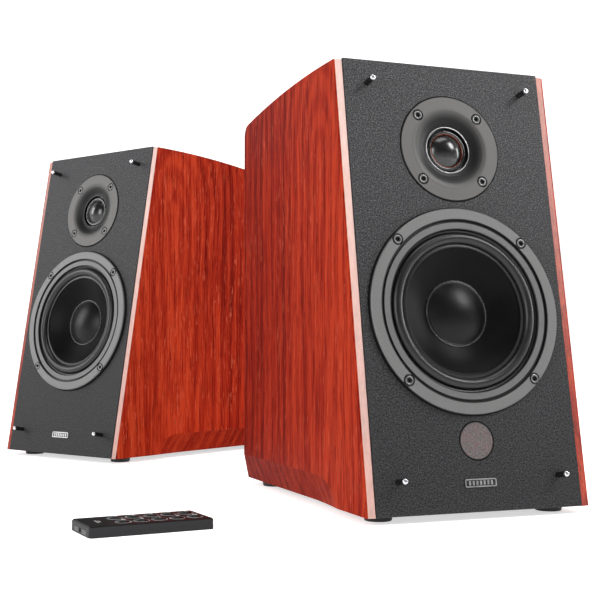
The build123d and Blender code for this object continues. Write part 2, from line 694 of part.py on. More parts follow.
def on_rear(shape, x, up, behind=0.0):
    """Places a shape, built about its own z axis, on the rear face, +z pointing away."""
    return REAR_VIEW.location * Pos(-x, up, behind) * shape


def disc(radius, length, start=0.0):
    """A cylinder from z = start to z = start + length."""
    return Pos(0, 0, start + length / 2) * Cylinder(radius, length)


def block(width, height, length, start=0.0):
    """A box from z = start to z = start + length."""
    return Pos(0, 0, start + length / 2) * Box(width, height, length)


def port_cut():
    """The port's hole in the rear wall."""
    return on_rear(disc(PORT_BORE + PORT_WALL + RECESS_GAP, 3 * WALL, -2 * WALL), 0, PORT_UP)


def port_tube():
    """Reflex tube with a flared flange on the rear face."""
    wall = PORT_BORE + PORT_WALL
    flare = PORT_FLARE
    start = (PORT_BORE, PORT_FLANGE - flare)
    lip = (PORT_BORE + flare, PORT_FLANGE)
    bend = (PORT_BORE + flare * (1 - 1 / sqrt(2)), PORT_FLANGE - flare * (1 - 1 / sqrt(2)))
    mouth = ThreePointArc(start, bend, lip)
    rest = Polyline(
        lip,
        (PORT_FLANGE_RADIUS, PORT_FLANGE),
        (PORT_FLANGE_RADIUS, 0),
        (wall, 0),
        (wall, -PORT_LENGTH),
        (PORT_BORE, -PORT_LENGTH),
        start,
    )
    tube = revolve(Plane.XZ * make_face([mouth, rest]), Axis.Z)
    return on_rear(tube, 0, PORT_UP)


def plate_middle():
    """Height of the amplifier plate's middle."""
    return PLATE_BOTTOM + PLATE_HEIGHT / 2


def rounded_plate(width, height):
    """A plate lying on the rear face."""
    plate = block(width, height, PLATE_THICKNESS)
    plate = fillet(plate.edges().filter_by(Axis.Z), PLATE_CORNER)
    return plate


def plate_opening(width, height, up):
    """The opening in the rear wall behind a plate."""
    hole = block(width - 2 * PLATE_LAND, height - 2 * PLATE_LAND, 3 * WALL, -2 * WALL)
    return on_rear(hole, 0, up)


def plate_screw_places(width, height, up):
    """Screw places in the margin of a plate that laps the rear wall."""
    x = (width - PLATE_LAND) / 2
    y = (height - PLATE_LAND) / 2
    return [(i * x, up + j * y) for i in (-1, 1) for j in (-1, 1)]


def plate_screws(places):
    """Round-head screws through a plate into the rear wall."""
    small = screw(WALL - 2.0)
    return [on_rear(small, x, up, PLATE_THICKNESS) for x, up in places]


def plate_pilots(places):
    """Pilot holes for the plate's screws."""
    pilot = disc(SCREW_SHANK_RADIUS + THREAD_GAP, WALL, -WALL + 1.0)
    return [on_rear(pilot, x, up) for x, up in places]


def knob_places():
    """Volume, treble and bass knobs as (x, up)."""
    return [(KNOB_SPACING, KNOB_ROW_UP), (0.0, KNOB_ROW_UP), (-KNOB_SPACING, KNOB_ROW_UP)]


def phono_places():
    """Four phono sockets in two pairs."""
    rows = [PHONO_UP, PHONO_UP - PHONO_ROW_DROP]
    return [(PHONO_X + i * PHONO_SPACING, up) for up in rows for i in (0, 1)]


def amp_plate():
    """Metal plate that carries the controls and the sockets."""
    plate = on_rear(rounded_plate(PLATE_WIDTH, PLATE_HEIGHT), 0, plate_middle())
    through = (3 * PLATE_THICKNESS, -PLATE_THICKNESS)
    hole = disc(SCREW_SHANK_RADIUS + SCREW_GAP, *through)
    for x, up in plate_screw_places(PLATE_WIDTH, PLATE_HEIGHT, plate_middle()):
        plate -= on_rear(hole, x, up)
    for x, up in knob_places():
        plate -= on_rear(disc(SHAFT_RADIUS + SCREW_GAP, *through), x, up)
    for x, up in phono_places():
        plate -= on_rear(disc(PHONO_BARREL_RADIUS, *through), x, up)
    plate -= on_rear(disc(LINK_SHELL, *through), LINK_X, LINK_UP)
    wide, high = INLET_POCKET
    body = block(wide + 2 * INLET_WALL, high + 2 * INLET_WALL, *through)
    plate -= on_rear(body, INLET_X, INLET_UP)
    plate += on_rear(rocker_frame(), ROCKER_X, ROCKER_UP)
    return plate - on_rear(rocker_pocket(), ROCKER_X, ROCKER_UP)


def amp_board():
    """Circuit board behind the plate, with the potentiometers on its face."""
    up = PLATE_BOTTOM + PLATE_HEIGHT - PLATE_LAND - 4.0 - BOARD_SIZE[1] / 2
    front = -BOARD_STANDOFF
    card = block(*BOARD_SIZE, BOARD_THICKNESS, front - BOARD_THICKNESS)
    board = on_rear(card, 0, up)
    shaft_bore = disc(SHAFT_RADIUS + SHAFT_GAP, BOARD_STANDOFF, front + 0.6)
    pot = block(POT_SIZE, POT_SIZE, BOARD_STANDOFF, front) - shaft_bore
    for x, knob_up in knob_places():
        board += on_rear(pot, x, knob_up)
    post = block(8.0, 8.0, BOARD_STANDOFF, front)
    for i in (-1, 1):
        board += on_rear(post, i * (BOARD_SIZE[0] / 2 - 6.0), up - BOARD_SIZE[1] / 2 + 6.0)
    sink = block(60.0, 40.0, 22.0, front - BOARD_THICKNESS - 22.0)
    fin = block(4.0, 44.0, 16.0, front - BOARD_THICKNESS - 24.0)
    for i in range(-3, 4):
        sink -= Pos(i * 8.0, 0, 0) * fin
    return board + on_rear(sink, 0, up - 20.0)


def knob(radius):
    """Fluted knob with its shaft, about its own axis, back of the knob at z = 0."""
    body = disc(radius, KNOB_LENGTH)
    body = fillet(body.edges().filter_by(GeomType.CIRCLE).sort_by(Axis.Z)[-1], 1.0)
    flute = Pos(radius + 0.6, 0, 2.0) * disc(1.2, KNOB_LENGTH)
    for step in range(16):
        body -= Rot(0, 0, step * 22.5) * flute
    pointer = Pos(0, radius * 0.6, KNOB_LENGTH - 0.5) * Box(1.2, radius * 0.7, 1.2)
    return body - pointer + disc(SHAFT_RADIUS, SHAFT_LENGTH, -SHAFT_LENGTH)


def knob_on_plate(radius, place):
    """A knob standing just clear of the plate, its shaft in its potentiometer."""
    return on_rear(knob(radius), *place, PLATE_THICKNESS + KNOB_GAP)


def phono_sockets():
    """Barrel sockets with a collar against the plate."""
    collar = disc(PHONO_BARREL_RADIUS + 2.0, 2.0, PLATE_THICKNESS)
    barrel = disc(PHONO_BARREL_RADIUS, PHONO_BARREL_LENGTH + 2.0 + PLATE_THICKNESS)
    bore = disc(PHONO_BORE, PHONO_BARREL_LENGTH, PLATE_THICKNESS + 3.0)
    socket = collar + barrel - bore
    return [on_rear(socket, x, up) for x, up in phono_places()]


def link_socket(x, up):
    """Round socket for the cable between the two speakers."""
    shell = disc(LINK_SHELL, LINK_DEPTH + PLATE_THICKNESS, -LINK_DEPTH + 2.0)
    shell += disc(LINK_SHELL + 2.0, 2.0, PLATE_THICKNESS)
    bore = disc(LINK_BORE, LINK_DEPTH + 6.0, PLATE_THICKNESS + 2.0 - LINK_DEPTH)
    return on_rear(shell - bore, x, up)


def mains_inlet():
    """Figure-eight inlet: bezel, pocket and its two pins."""
    bezel = block(INLET_BEZEL[0], INLET_BEZEL[1], 1.5, PLATE_THICKNESS)
    bezel = fillet(bezel.edges().filter_by(Axis.Z), 2.0)
    wide, high = INLET_POCKET
    deep = INLET_DEPTH + INLET_WALL
    body = block(wide + 2 * INLET_WALL, high + 2 * INLET_WALL, deep, PLATE_THICKNESS - deep)
    mouth = PLATE_THICKNESS + 1.5
    pocket = block(wide, high, INLET_DEPTH + INLET_WALL, mouth - INLET_DEPTH)
    pocket = fillet(pocket.edges().filter_by(Axis.Z), high / 2 - 0.1)
    inlet = bezel + body - pocket
    for side in (-1, 1):
        pin = disc(INLET_PIN_RADIUS, INLET_DEPTH - 3.0, mouth - INLET_DEPTH)
        inlet += Pos(side * INLET_PIN_SPACING / 2, 0, 0) * pin
    return on_rear(inlet, INLET_X, INLET_UP)


def rocker_frame():
    """The switch's frame and the wall of its pocket."""
    wide, high = ROCKER_BEZEL
    frame = block(wide, high, ROCKER_FRAME, PLATE_THICKNESS)
    return frame + block(wide - 4.6, high - 4.6, ROCKER_BODY, PLATE_THICKNESS - ROCKER_BODY)


def rocker_pocket():
    """The pocket that the rocker tilts in."""
    wide = ROCKER_SIZE[0] + 2 * ROCKER_GAP
    high = ROCKER_SIZE[1] + 2 * ROCKER_GAP
    return block(wide, high, ROCKER_BODY, PLATE_THICKNESS + ROCKER_FRAME + 2.0 - ROCKER_BODY)


def power_rocker():
    """Rocker with a dished face and rounded ends, tilting about a level axis."""
    wide, high = ROCKER_SIZE
    round_ends = Rot(0, 90, 0) * disc(high / 2, wide, -wide / 2)
    body = round_ends & block(wide, high, ROCKER_RISE + ROCKER_DROP, -ROCKER_DROP)
    dish = Pos(0, 0, ROCKER_RISE + 38.0) * (Rot(0, 90, 0) * disc(39.2, 2 * wide, -wide))
    return on_rear(Rot(ROCKER_TILT, 0, 0) * (body - dish), ROCKER_X, ROCKER_UP, ROCKER_PIVOT)


def transformer():
    """Ring-core transformer standing on the underside's wall."""
    low = FOOT_HEIGHT + WALL
    ring = disc(TRANSFORMER_RADIUS, TRANSFORMER_HEIGHT) - disc(
        TRANSFORMER_BORE, 3 * TRANSFORMER_HEIGHT, -TRANSFORMER_HEIGHT
    )
    ring = fillet(ring.edges().filter_by(GeomType.CIRCLE), 5.0)
    return Pos(0, TRANSFORMER_Y, low) * ring


def terminal_plate():
    """The passive speaker's small plate, holed for its link socket."""
    plate = on_rear(rounded_plate(TERMINAL_SIZE, TERMINAL_SIZE), 0, TERMINAL_UP)
    hole = disc(SCREW_SHANK_RADIUS + SCREW_GAP, 3 * PLATE_THICKNESS, -PLATE_THICKNESS)
    for x, up in plate_screw_places(TERMINAL_SIZE, TERMINAL_SIZE, TERMINAL_UP):
        plate -= on_rear(hole, x, up)
    plate -= on_rear(disc(LINK_SHELL, 3 * PLATE_THICKNESS, -PLATE_THICKNESS), 0, TERMINAL_UP)
    return plate


# ---------------------------------------------------------------- remote
# Built about the middle of its underside; the battery tray is at the -x end.


def button_places():
    """Button centres, near row first, each row from the battery end."""
    first = BUTTON_FIRST_X - REMOTE_LENGTH / 2
    rows = [BUTTON_ROWS_SHIFT + side * BUTTON_PITCH_Y / 2 for side in (-1, 1)]
    return [(first + i * BUTTON_PITCH_X, y) for y in rows for i in range(BUTTON_COLUMNS)]


def tray_block(clearance):
    """The battery tray's outer block, grown by a clearance above, below and at its sides."""
    length = TRAY_LENGTH + clearance
    width = TRAY_WIDTH + 2 * clearance
    body = Box(length, width, TRAY_HEIGHT + 2 * clearance)
    return Pos((length - REMOTE_LENGTH) / 2, 0, TRAY_FLOOR + TRAY_HEIGHT / 2) * body


def board_block(clearance):
    """The remote board's block, grown sideways by a clearance."""
    length = BUTTON_COLUMNS * BUTTON_PITCH_X - 2.0 + 2 * clearance
    width = 2 * BUTTON_PITCH_Y - 2.0 + 2 * clearance
    middle = BUTTON_FIRST_X + ((BUTTON_COLUMNS - 1) * BUTTON_PITCH_X - REMOTE_LENGTH) / 2
    board = Box(length, width, REMOTE_BOARD)
    return Pos(middle, BUTTON_ROWS_SHIFT, REMOTE_BOARD_LOW + REMOTE_BOARD / 2) * board


def remote_shell():
    """Slim case with button wells, a hollow for the board and a slot for the tray."""
    case = Pos(0, 0, REMOTE_HEIGHT / 2) * Box(REMOTE_LENGTH, REMOTE_WIDTH, REMOTE_HEIGHT)
    case = fillet(case.edges().filter_by(Axis.Z), REMOTE_CORNER)
    case = chamfer(case.faces().sort_by(Axis.Z)[-1].edges(), REMOTE_BEVEL)
    case -= board_block(RECESS_GAP)
    for x, y in button_places():
        case -= Pos(x, y, 0) * disc(BUTTON_RADIUS + BUTTON_GAP, REMOTE_HEIGHT, BUTTON_FLOOR)
    return case - tray_block(TRAY_CLEARANCE)


def button():
    """Round button with a domed top, its underside at z = 0."""
    stem = REMOTE_HEIGHT + BUTTON_PROUD - BUTTON_REST
    ball = (BUTTON_RADIUS**2 + BUTTON_DOME**2) / (2 * BUTTON_DOME)
    dome = Pos(0, 0, stem + BUTTON_DOME - ball) * Sphere(ball)
    return dome & disc(BUTTON_RADIUS, stem + BUTTON_DOME)


def battery_tray():
    """Drawer for the coin cell, with a finger notch in its outer end."""
    tray = tray_block(0)
    cell_x = tray_cell_x()
    pocket = disc(CELL_RADIUS + CELL_CLEARANCE, TRAY_HEIGHT, TRAY_FLOOR + TRAY_BASE)
    notch = Pos(-REMOTE_LENGTH / 2, 0, 0) * disc(3.0, TRAY_HEIGHT, TRAY_FLOOR + TRAY_BASE)
    return tray - Pos(cell_x, 0, 0) * pocket - notch


def tray_cell_x():
    """The coin cell's middle, near the tray's inner end."""
    return TRAY_LENGTH - REMOTE_LENGTH / 2 - CELL_RADIUS - CELL_CLEARANCE - 1.2


def coin_cell():
    """Lithium coin cell lying in the tray."""
    cell = disc(CELL_RADIUS, CELL_HEIGHT, TRAY_FLOOR + TRAY_BASE)
    cell = fillet(cell.edges().filter_by(GeomType.CIRCLE), 0.3)
    return Pos(tray_cell_x(), 0, 0) * cell


# ---------------------------------------------------------------- assembly


def common_pieces():
    """The pieces that both speakers have, in the speaker's own frame."""
    return {
        "side_left": side_panel(-1),
        "side_right": side_panel(1),
        "woofer_basket": woofer_basket(),
        "woofer_surround": woofer_surround(),
        "woofer_cone": woofer_cone(),
        "dust_cap": dust_cap(),
        "woofer_spider": woofer_spider(),
        "driver_motors": woofer_motor() + tweeter_motor(),
        "tweeter_faceplate": tweeter_faceplate(),
        "tweeter_dome": tweeter_dome(),
        "port_tube": port_tube(),
        "grille_pegs": grille_pegs(),
        "feet": feet(),
    }


def active_pieces(common):
    """The active speaker: amplifier, controls and receiver window."""
    screw_places = plate_screw_places(PLATE_WIDTH, PLATE_HEIGHT, plate_middle())
    opening = plate_opening(PLATE_WIDTH, PLATE_HEIGHT, plate_middle())
    volume, treble, bass = knob_places()
    return common | {
        "carcass": carcass([port_cut(), opening, *plate_pilots(screw_places)]),
        "front_baffle": front_baffle(window=True),
        "screws": driver_screws() + plate_screws(screw_places),
        "receiver_window": receiver_window(),
        "amp_plate": amp_plate(),
        "amp_board": amp_board(),
        "transformer": transformer(),
        "volume_knob": knob_on_plate(VOLUME_RADIUS, volume),
        "treble_knob": knob_on_plate(KNOB_RADIUS, treble),
        "bass_knob": knob_on_plate(KNOB_RADIUS, bass),
        "power_rocker": power_rocker(),
        "mains_inlet": mains_inlet(),
        "phono_sockets": phono_sockets(),
        "link_socket": link_socket(LINK_X, LINK_UP),
    }


def passive_pieces(common):
    """The passive speaker: a terminal plate in place of the amplifier."""
    screw_places = plate_screw_places(TERMINAL_SIZE, TERMINAL_SIZE, TERMINAL_UP)
    opening = plate_opening(TERMINAL_SIZE, TERMINAL_SIZE, TERMINAL_UP)
    return common | {
        "carcass": carcass([port_cut(), opening, *plate_pilots(screw_places)]),
        "front_baffle": front_baffle(window=False),
        "screws": driver_screws() + plate_screws(screw_places),
        "terminal_plate": terminal_plate(),
        "link_socket": link_socket(0, TERMINAL_UP),
    }


def remote_pieces():
    """The card remote in its own frame."""
    pieces = {
        "shell": remote_shell(),
        "board": board_block(0),
        "battery_tray": battery_tray(),
        "coin_cell": coin_cell(),
    }
    for number, (x, y) in enumerate(button_places(), start=1):
        pieces[f"button_{number:02d}"] = Pos(x, y, BUTTON_REST) * button()
    return pieces


def set_places(boxes):
    """Where each unit stands, with the middle of the set's own footprint at the origin."""
    low_x = min(box.min.X for box in boxes)
    high_x = max(box.max.X for box in boxes)
    low_y = min(box.min.Y for box in boxes)
    high_y = max(box.max.Y for box in boxes)
    return Pos(-(low_x + high_x) / 2, -(low_y + high_y) / 2, 0)


def as_one(shape):
    """A list of separate solids as one compound; a single shape as it is."""
    return Compound(children=list(shape)) if isinstance(shape, list) else shape


def build():
    """Every node of the set, placed, by name."""
    common = common_pieces()
    units = {
        "active": (active_pieces(common), Pos(0, 0, 0)),
        "passive": (passive_pieces(common), Pos(*PASSIVE_FROM_ACTIVE, 0) * Rot(0, 0, PASSIVE_TURN)),
        "remote": (remote_pieces(), Pos(*REMOTE_FROM_ACTIVE, 0) * Rot(0, 0, REMOTE_TURN)),
    }
    nodes = {}
    for unit, (pieces, place) in units.items():
        for name, shape in pieces.items():
            nodes[f"{unit}_{name}"] = place * as_one(shape)
    centre = set_places([shape.bounding_box() for shape in nodes.values()])
    places = {unit: centre * place for unit, (_, place) in units.items()}
    return {name: centre * shape for name, shape in nodes.items()}, places


if __name__ == "__main__":
    os.makedirs("parts", exist_ok=True)
    model, unit_places = build()
    for node_name, node_shape in model.items():
        export_step(node_shape, f"parts/{node_name}.step")
    for unit_name, unit_place in unit_places.items():
        print(unit_name, unit_place.position, unit_place.orientation)
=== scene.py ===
"""Looks of a pair of desktop speakers and their card remote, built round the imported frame."""

import json
import logging
import math
from dataclasses import dataclass
from enum import Enum

import bpy
import numpy as np
from mathutils import Matrix, Vector


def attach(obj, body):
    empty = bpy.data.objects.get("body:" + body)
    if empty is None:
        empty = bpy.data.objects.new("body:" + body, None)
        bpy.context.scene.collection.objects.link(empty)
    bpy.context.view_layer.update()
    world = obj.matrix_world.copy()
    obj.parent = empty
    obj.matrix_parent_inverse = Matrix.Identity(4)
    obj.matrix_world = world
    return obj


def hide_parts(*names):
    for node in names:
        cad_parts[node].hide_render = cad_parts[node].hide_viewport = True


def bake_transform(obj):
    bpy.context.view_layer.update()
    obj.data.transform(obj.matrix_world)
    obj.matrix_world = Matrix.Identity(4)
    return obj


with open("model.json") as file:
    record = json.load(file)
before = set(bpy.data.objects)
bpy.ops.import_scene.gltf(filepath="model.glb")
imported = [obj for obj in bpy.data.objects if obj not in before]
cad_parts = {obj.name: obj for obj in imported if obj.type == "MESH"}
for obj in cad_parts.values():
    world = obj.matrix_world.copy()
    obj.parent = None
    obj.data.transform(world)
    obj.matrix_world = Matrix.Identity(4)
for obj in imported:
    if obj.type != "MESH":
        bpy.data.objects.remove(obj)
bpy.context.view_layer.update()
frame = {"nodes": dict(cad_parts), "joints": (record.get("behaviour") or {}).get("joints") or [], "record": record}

LOG = logging.getLogger("speakers")
MM = 0.001
Colour = tuple[float, float, float]
Profile = list[tuple[float, float]]
Shape = tuple[list, list]
Material = bpy.types.Material
Socket = bpy.types.NodeSocket


class Unit(Enum):
    """The two speakers of the pair; the value is the prefix of their nodes."""

    ACTIVE = "active"
    PASSIVE = "passive"


class Side(Enum):
    """Left or right of a speaker, seen from its front."""

    LEFT = -1
    RIGHT = 1


# ---------------------------------------------------------------- frames of reference


@dataclass(frozen=True)
class SpeakerFrame:
    """Where one speaker stands, read from its grille pegs.

    The baffle's own axes are across, up the slope and out of its face, in millimetres from the
    middle of its bottom edge. The rear face's axes are seen from behind.
    """

    unit: Unit
    baffle: Matrix
    rear: Matrix
    foot: Matrix
    peg_across: float = 61.4
    peg_up: float = 22.4
    depth: float = 250.0
    foot_height: float = 5.0
    woofer_up: float = 138.0
    tweeter_up: float = 255.5
    window_up: float = 47.8

    @classmethod
    def read(cls, unit: Unit) -> "SpeakerFrame":
        """Works the frames out from the record's grille peg mounts.

        Args:
            unit: the speaker to read.

        Returns:
            The speaker's frames of reference.
        """
        mounts = {m["name"]: m for m in frame["record"]["mounts"]}
        peg = {
            corner: Vector(mounts[f"{unit.value}_grille_peg_{corner}"]["pos_m"])
            for corner in ("lower_left", "lower_right", "upper_left")
        }
        across = (peg["lower_right"] - peg["lower_left"]).normalized()
        up = (peg["upper_left"] - peg["lower_left"]).normalized()
        out = across.cross(up).normalized()
        length = mounts[f"{unit.value}_grille_peg_lower_left"]["dims"]["length_mm"]
        corner = peg["lower_left"] - out * (length / 2 * MM)
        origin = corner + across * (cls.peg_across * MM) - up * (cls.peg_up * MM)
        ground = origin - Vector((0, 0, cls.foot_height * MM))
        rearward = Vector((0, 0, 1)).cross(across)
        rear = ground + rearward * (cls.depth * MM)
        return cls(
            unit=unit,
            baffle=axes_matrix(origin, across, up, out),
            rear=axes_matrix(rear, -across, Vector((0, 0, 1)), rearward),
            foot=axes_matrix(ground, across, rearward, Vector((0, 0, 1))),
        )

    def on_baffle(self, up: float, across: float = 0.0) -> Matrix:
        """Matrix for a mesh drawn in millimetres about a point of the baffle's face."""
        return self.baffle @ Matrix.Translation((across, up, 0))

    def on_rear(self, x: float, up: float, behind: float = 0.0) -> Matrix:
        """Matrix for a mesh drawn in millimetres about a point of the rear face."""
        return self.rear @ Matrix.Translation((-x, up, behind))


def axes_matrix(origin: Vector, x: Vector, y: Vector, z: Vector) -> Matrix:
    """A matrix that takes millimetres along three axes to metres in the frame.

    Args:
        origin: the axes' origin, in metres.
        x: first axis.
        y: second axis.
        z: third axis.

    Returns:
        The matrix.
    """
    columns = [axis.normalized() * MM for axis in (x, y, z)]
    rows = [[*(column[i] for column in columns), origin[i]] for i in range(3)]
    return Matrix([*rows, [0, 0, 0, 1]])


# ---------------------------------------------------------------- mesh building


@dataclass
class Pieces:
    """Makes meshes, dresses them and hands them to the frame."""

    body: str
    count: int = 0

    def add(
        self,
        name: str,
        points: list,
        faces: list,
        place: Matrix,
        material: Material,
        slot: str,
        sharp: float = 35.0,
    ) -> bpy.types.Object:
        """Builds one piece from points and faces and lets it ride on the body.

        Args:
            name: the piece's name.
            points: its vertices in millimetres, in the place's axes.
            faces: its faces as vertex indices.
            place: where its axes lie.
            material: its finish.
            slot: the record's slot that it stands for; not used.
            sharp: the angle over which an edge stays sharp, in degrees.

        Returns:
            The new object.
        """
        mesh = bpy.data.meshes.new(name)
        mesh.from_pydata([place @ Vector(p) for p in points], [], faces)
        mesh.validate()
        mesh.materials.append(material)
        mesh.shade_smooth()
        mesh.set_sharp_from_angle(angle=math.radians(sharp))
        piece = bpy.data.objects.new(name, mesh)
        bpy.context.scene.collection.objects.link(piece)
        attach(piece, self.body)
        self.count += 1
        LOG.info("%s: %d faces on %s", name, len(mesh.polygons), self.body)
        return piece


def lathe(outline: Profile, steps: int = 128) -> Shape:
    """Turns a closed outline of (radius, height) about the z axis.

    Args:
        outline: the outline's corners; corners at radius 0 become poles.
        steps: how many steps make the full turn.

    Returns:
        The points and the faces.
    """
    points: list = []
    rings: list = []
    for radius, height in outline:
        if radius < 1e-6:
            rings.append([len(points)] * steps)
            points.append((0.0, 0.0, height))
            continue
        rings.append(list(range(len(points), len(points) + steps)))
        for k in range(steps):
            a = 2 * math.pi * k / steps
            points.append((radius * math.cos(a), radius * math.sin(a), height))
    faces = []
    for i in range(len(rings)):
        lower, upper = rings[i], rings[(i + 1) % len(rings)]
        for k in range(steps):
            n = (k + 1) % steps
            corners = [lower[k], lower[n], upper[n], upper[k]]
            face = [c for j, c in enumerate(corners) if c not in corners[:j]]
            if len(face) > 2:
                faces.append(face)
    return points, faces


def arc(middle: tuple[float, float], radius: float, start: float, end: float, steps: int) -> Profile:
    """Points along an arc in a (radius, height) section.

    Args:
        middle: the arc's centre.
        radius: its radius.
        start: first angle in degrees.
        end: last angle in degrees.
        steps: number of chords.

    Returns:
        The points.
    """
    turns = [math.radians(start + (end - start) * k / steps) for k in range(steps + 1)]
    return [(middle[0] + radius * math.cos(a), middle[1] + radius * math.sin(a)) for a in turns]


def dome_profile(radius: float, rise: float, steps: int) -> Profile:
    """Profile of a spherical dome from its edge to its pole.

    Args:
        radius: the edge's radius.
        rise: height of the pole over the edge.
        steps: number of chords.

    Returns:
        The points, ending at radius 0.
    """
    ball = (radius**2 + rise**2) / (2 * rise)
    half = math.asin(radius / ball)
    turns = [half * (1 - k / steps) for k in range(steps + 1)]
    return [(ball * math.sin(a), rise - ball + ball * math.cos(a)) for a in turns]


def prism(outline: list, low: float, high: float) -> Shape:
    """A flat shape with a small chamfer round its top, between two heights.

    Args:
        outline: the shape's corners, counter-clockwise.
        low: height of its underside.
        high: height of its top.

    Returns:
        The points and the faces.
    """
    middle = np.mean(np.array(outline), axis=0)
    size = max(np.abs(np.array(outline) - middle).max(), 1e-6)
    shrink = 1 - min(0.25 * (high - low), 0.12 * size) / size
    inner = [tuple(middle + (np.array(p) - middle) * shrink) for p in outline]
    step = low + (high - low) * 0.7
    count = len(outline)
    points = [(*p, low) for p in outline] + [(*p, step) for p in outline]
    points += [(*p, high) for p in inner]
    faces = [list(range(count - 1, -1, -1)), list(range(2 * count, 3 * count))]
    for layer in (0, 1):
        for k in range(count):
            n = (k + 1) % count
            a, b = layer * count, (layer + 1) * count
            faces.append([a + k, a + n, b + n, b + k])
    return points, faces


def rounded_rectangle(width: float, height: float, corner: float, steps: int = 6) -> list:
    """Corners of a rectangle with rounded corners about the origin.

    Args:
        width: its size along x.
        height: its size along y.
        corner: corner radius.
        steps: chords in each corner.

    Returns:
        The outline, counter-clockwise.
    """
    outline = []
    x, y = width / 2 - corner, height / 2 - corner
    for index, (i, j) in enumerate(((1, 1), (-1, 1), (-1, -1), (1, -1))):
        for k in range(steps + 1):
            a = math.pi / 2 * (index + k / steps)
            outline.append((i * x + corner * math.cos(a), j * y + corner * math.sin(a)))
    return outline


def joined(parts: list[Shape]) -> Shape:
    """Several shapes as one.

    Args:
        parts: the shapes.

    Returns:
        The points and the faces.
    """
    points, faces = [], []
    for more_points, more_faces in parts:
        start = len(points)
        points += more_points
        faces += [[start + i for i in face] for face in more_faces]
    return points, faces


def stroke(path: list, width: float, low: float, high: float, closed: bool = False) -> Shape:
    """A raised line of constant width along a flat path.

    Args:
        path: the points of its middle line.
        width: the line's width.
        low: height of its underside.
        high: height of its top.
        closed: whether the last point joins the first.

    Returns:
        The points and the faces.
    """
    line = np.array(path, float)
    count = len(line)
    points: list = []
    for k in range(count):
        before = line[k - 1] if closed or k > 0 else line[k]
        after = line[(k + 1) % count] if closed or k < count - 1 else line[k]
        along = (after - before) / (np.linalg.norm(after - before) + 1e-12)
        across = np.array((-along[1], along[0])) * width / 2
        for side, height in ((-1, low), (1, low), (1, high), (-1, high)):
            points.append((*(line[k] + side * across), height))
    faces = []
    for k in range(count if closed else count - 1):
        a, b = 4 * k, 4 * ((k + 1) % count)
        for j in range(4):
            n = (j + 1) % 4
            faces.append([a + j, b + j, b + n, a + n])
    if not closed:
        end = 4 * (count - 1)
        faces += [[0, 1, 2, 3], [end + 3, end + 2, end + 1, end]]
    return points, faces


def circle(radius: float, steps: int, start: float = 0.0, end: float = 360.0) -> list:
    """Points round a circle or an arc of it; a whole circle doesn't repeat its first point.

    Args:
        radius: the circle's radius.
        steps: number of chords.
        start: first angle in degrees.
        end: last angle in degrees.

    Returns:
        The points.
    """
    whole = abs(end - start) >= 360.0
    count = steps if whole else steps + 1
    turns = [math.radians(start + (end - start) * k / steps) for k in range(count)]
    return [(radius * math.cos(a), radius * math.sin(a)) for a in turns]


def moved(shape: Shape, x: float = 0.0, y: float = 0.0, z: float = 0.0) -> Shape:
    """A shape shifted along its axes."""
    return [(px + x, py + y, pz + z) for px, py, pz in shape[0]], shape[1]


# ---------------------------------------------------------------- material building


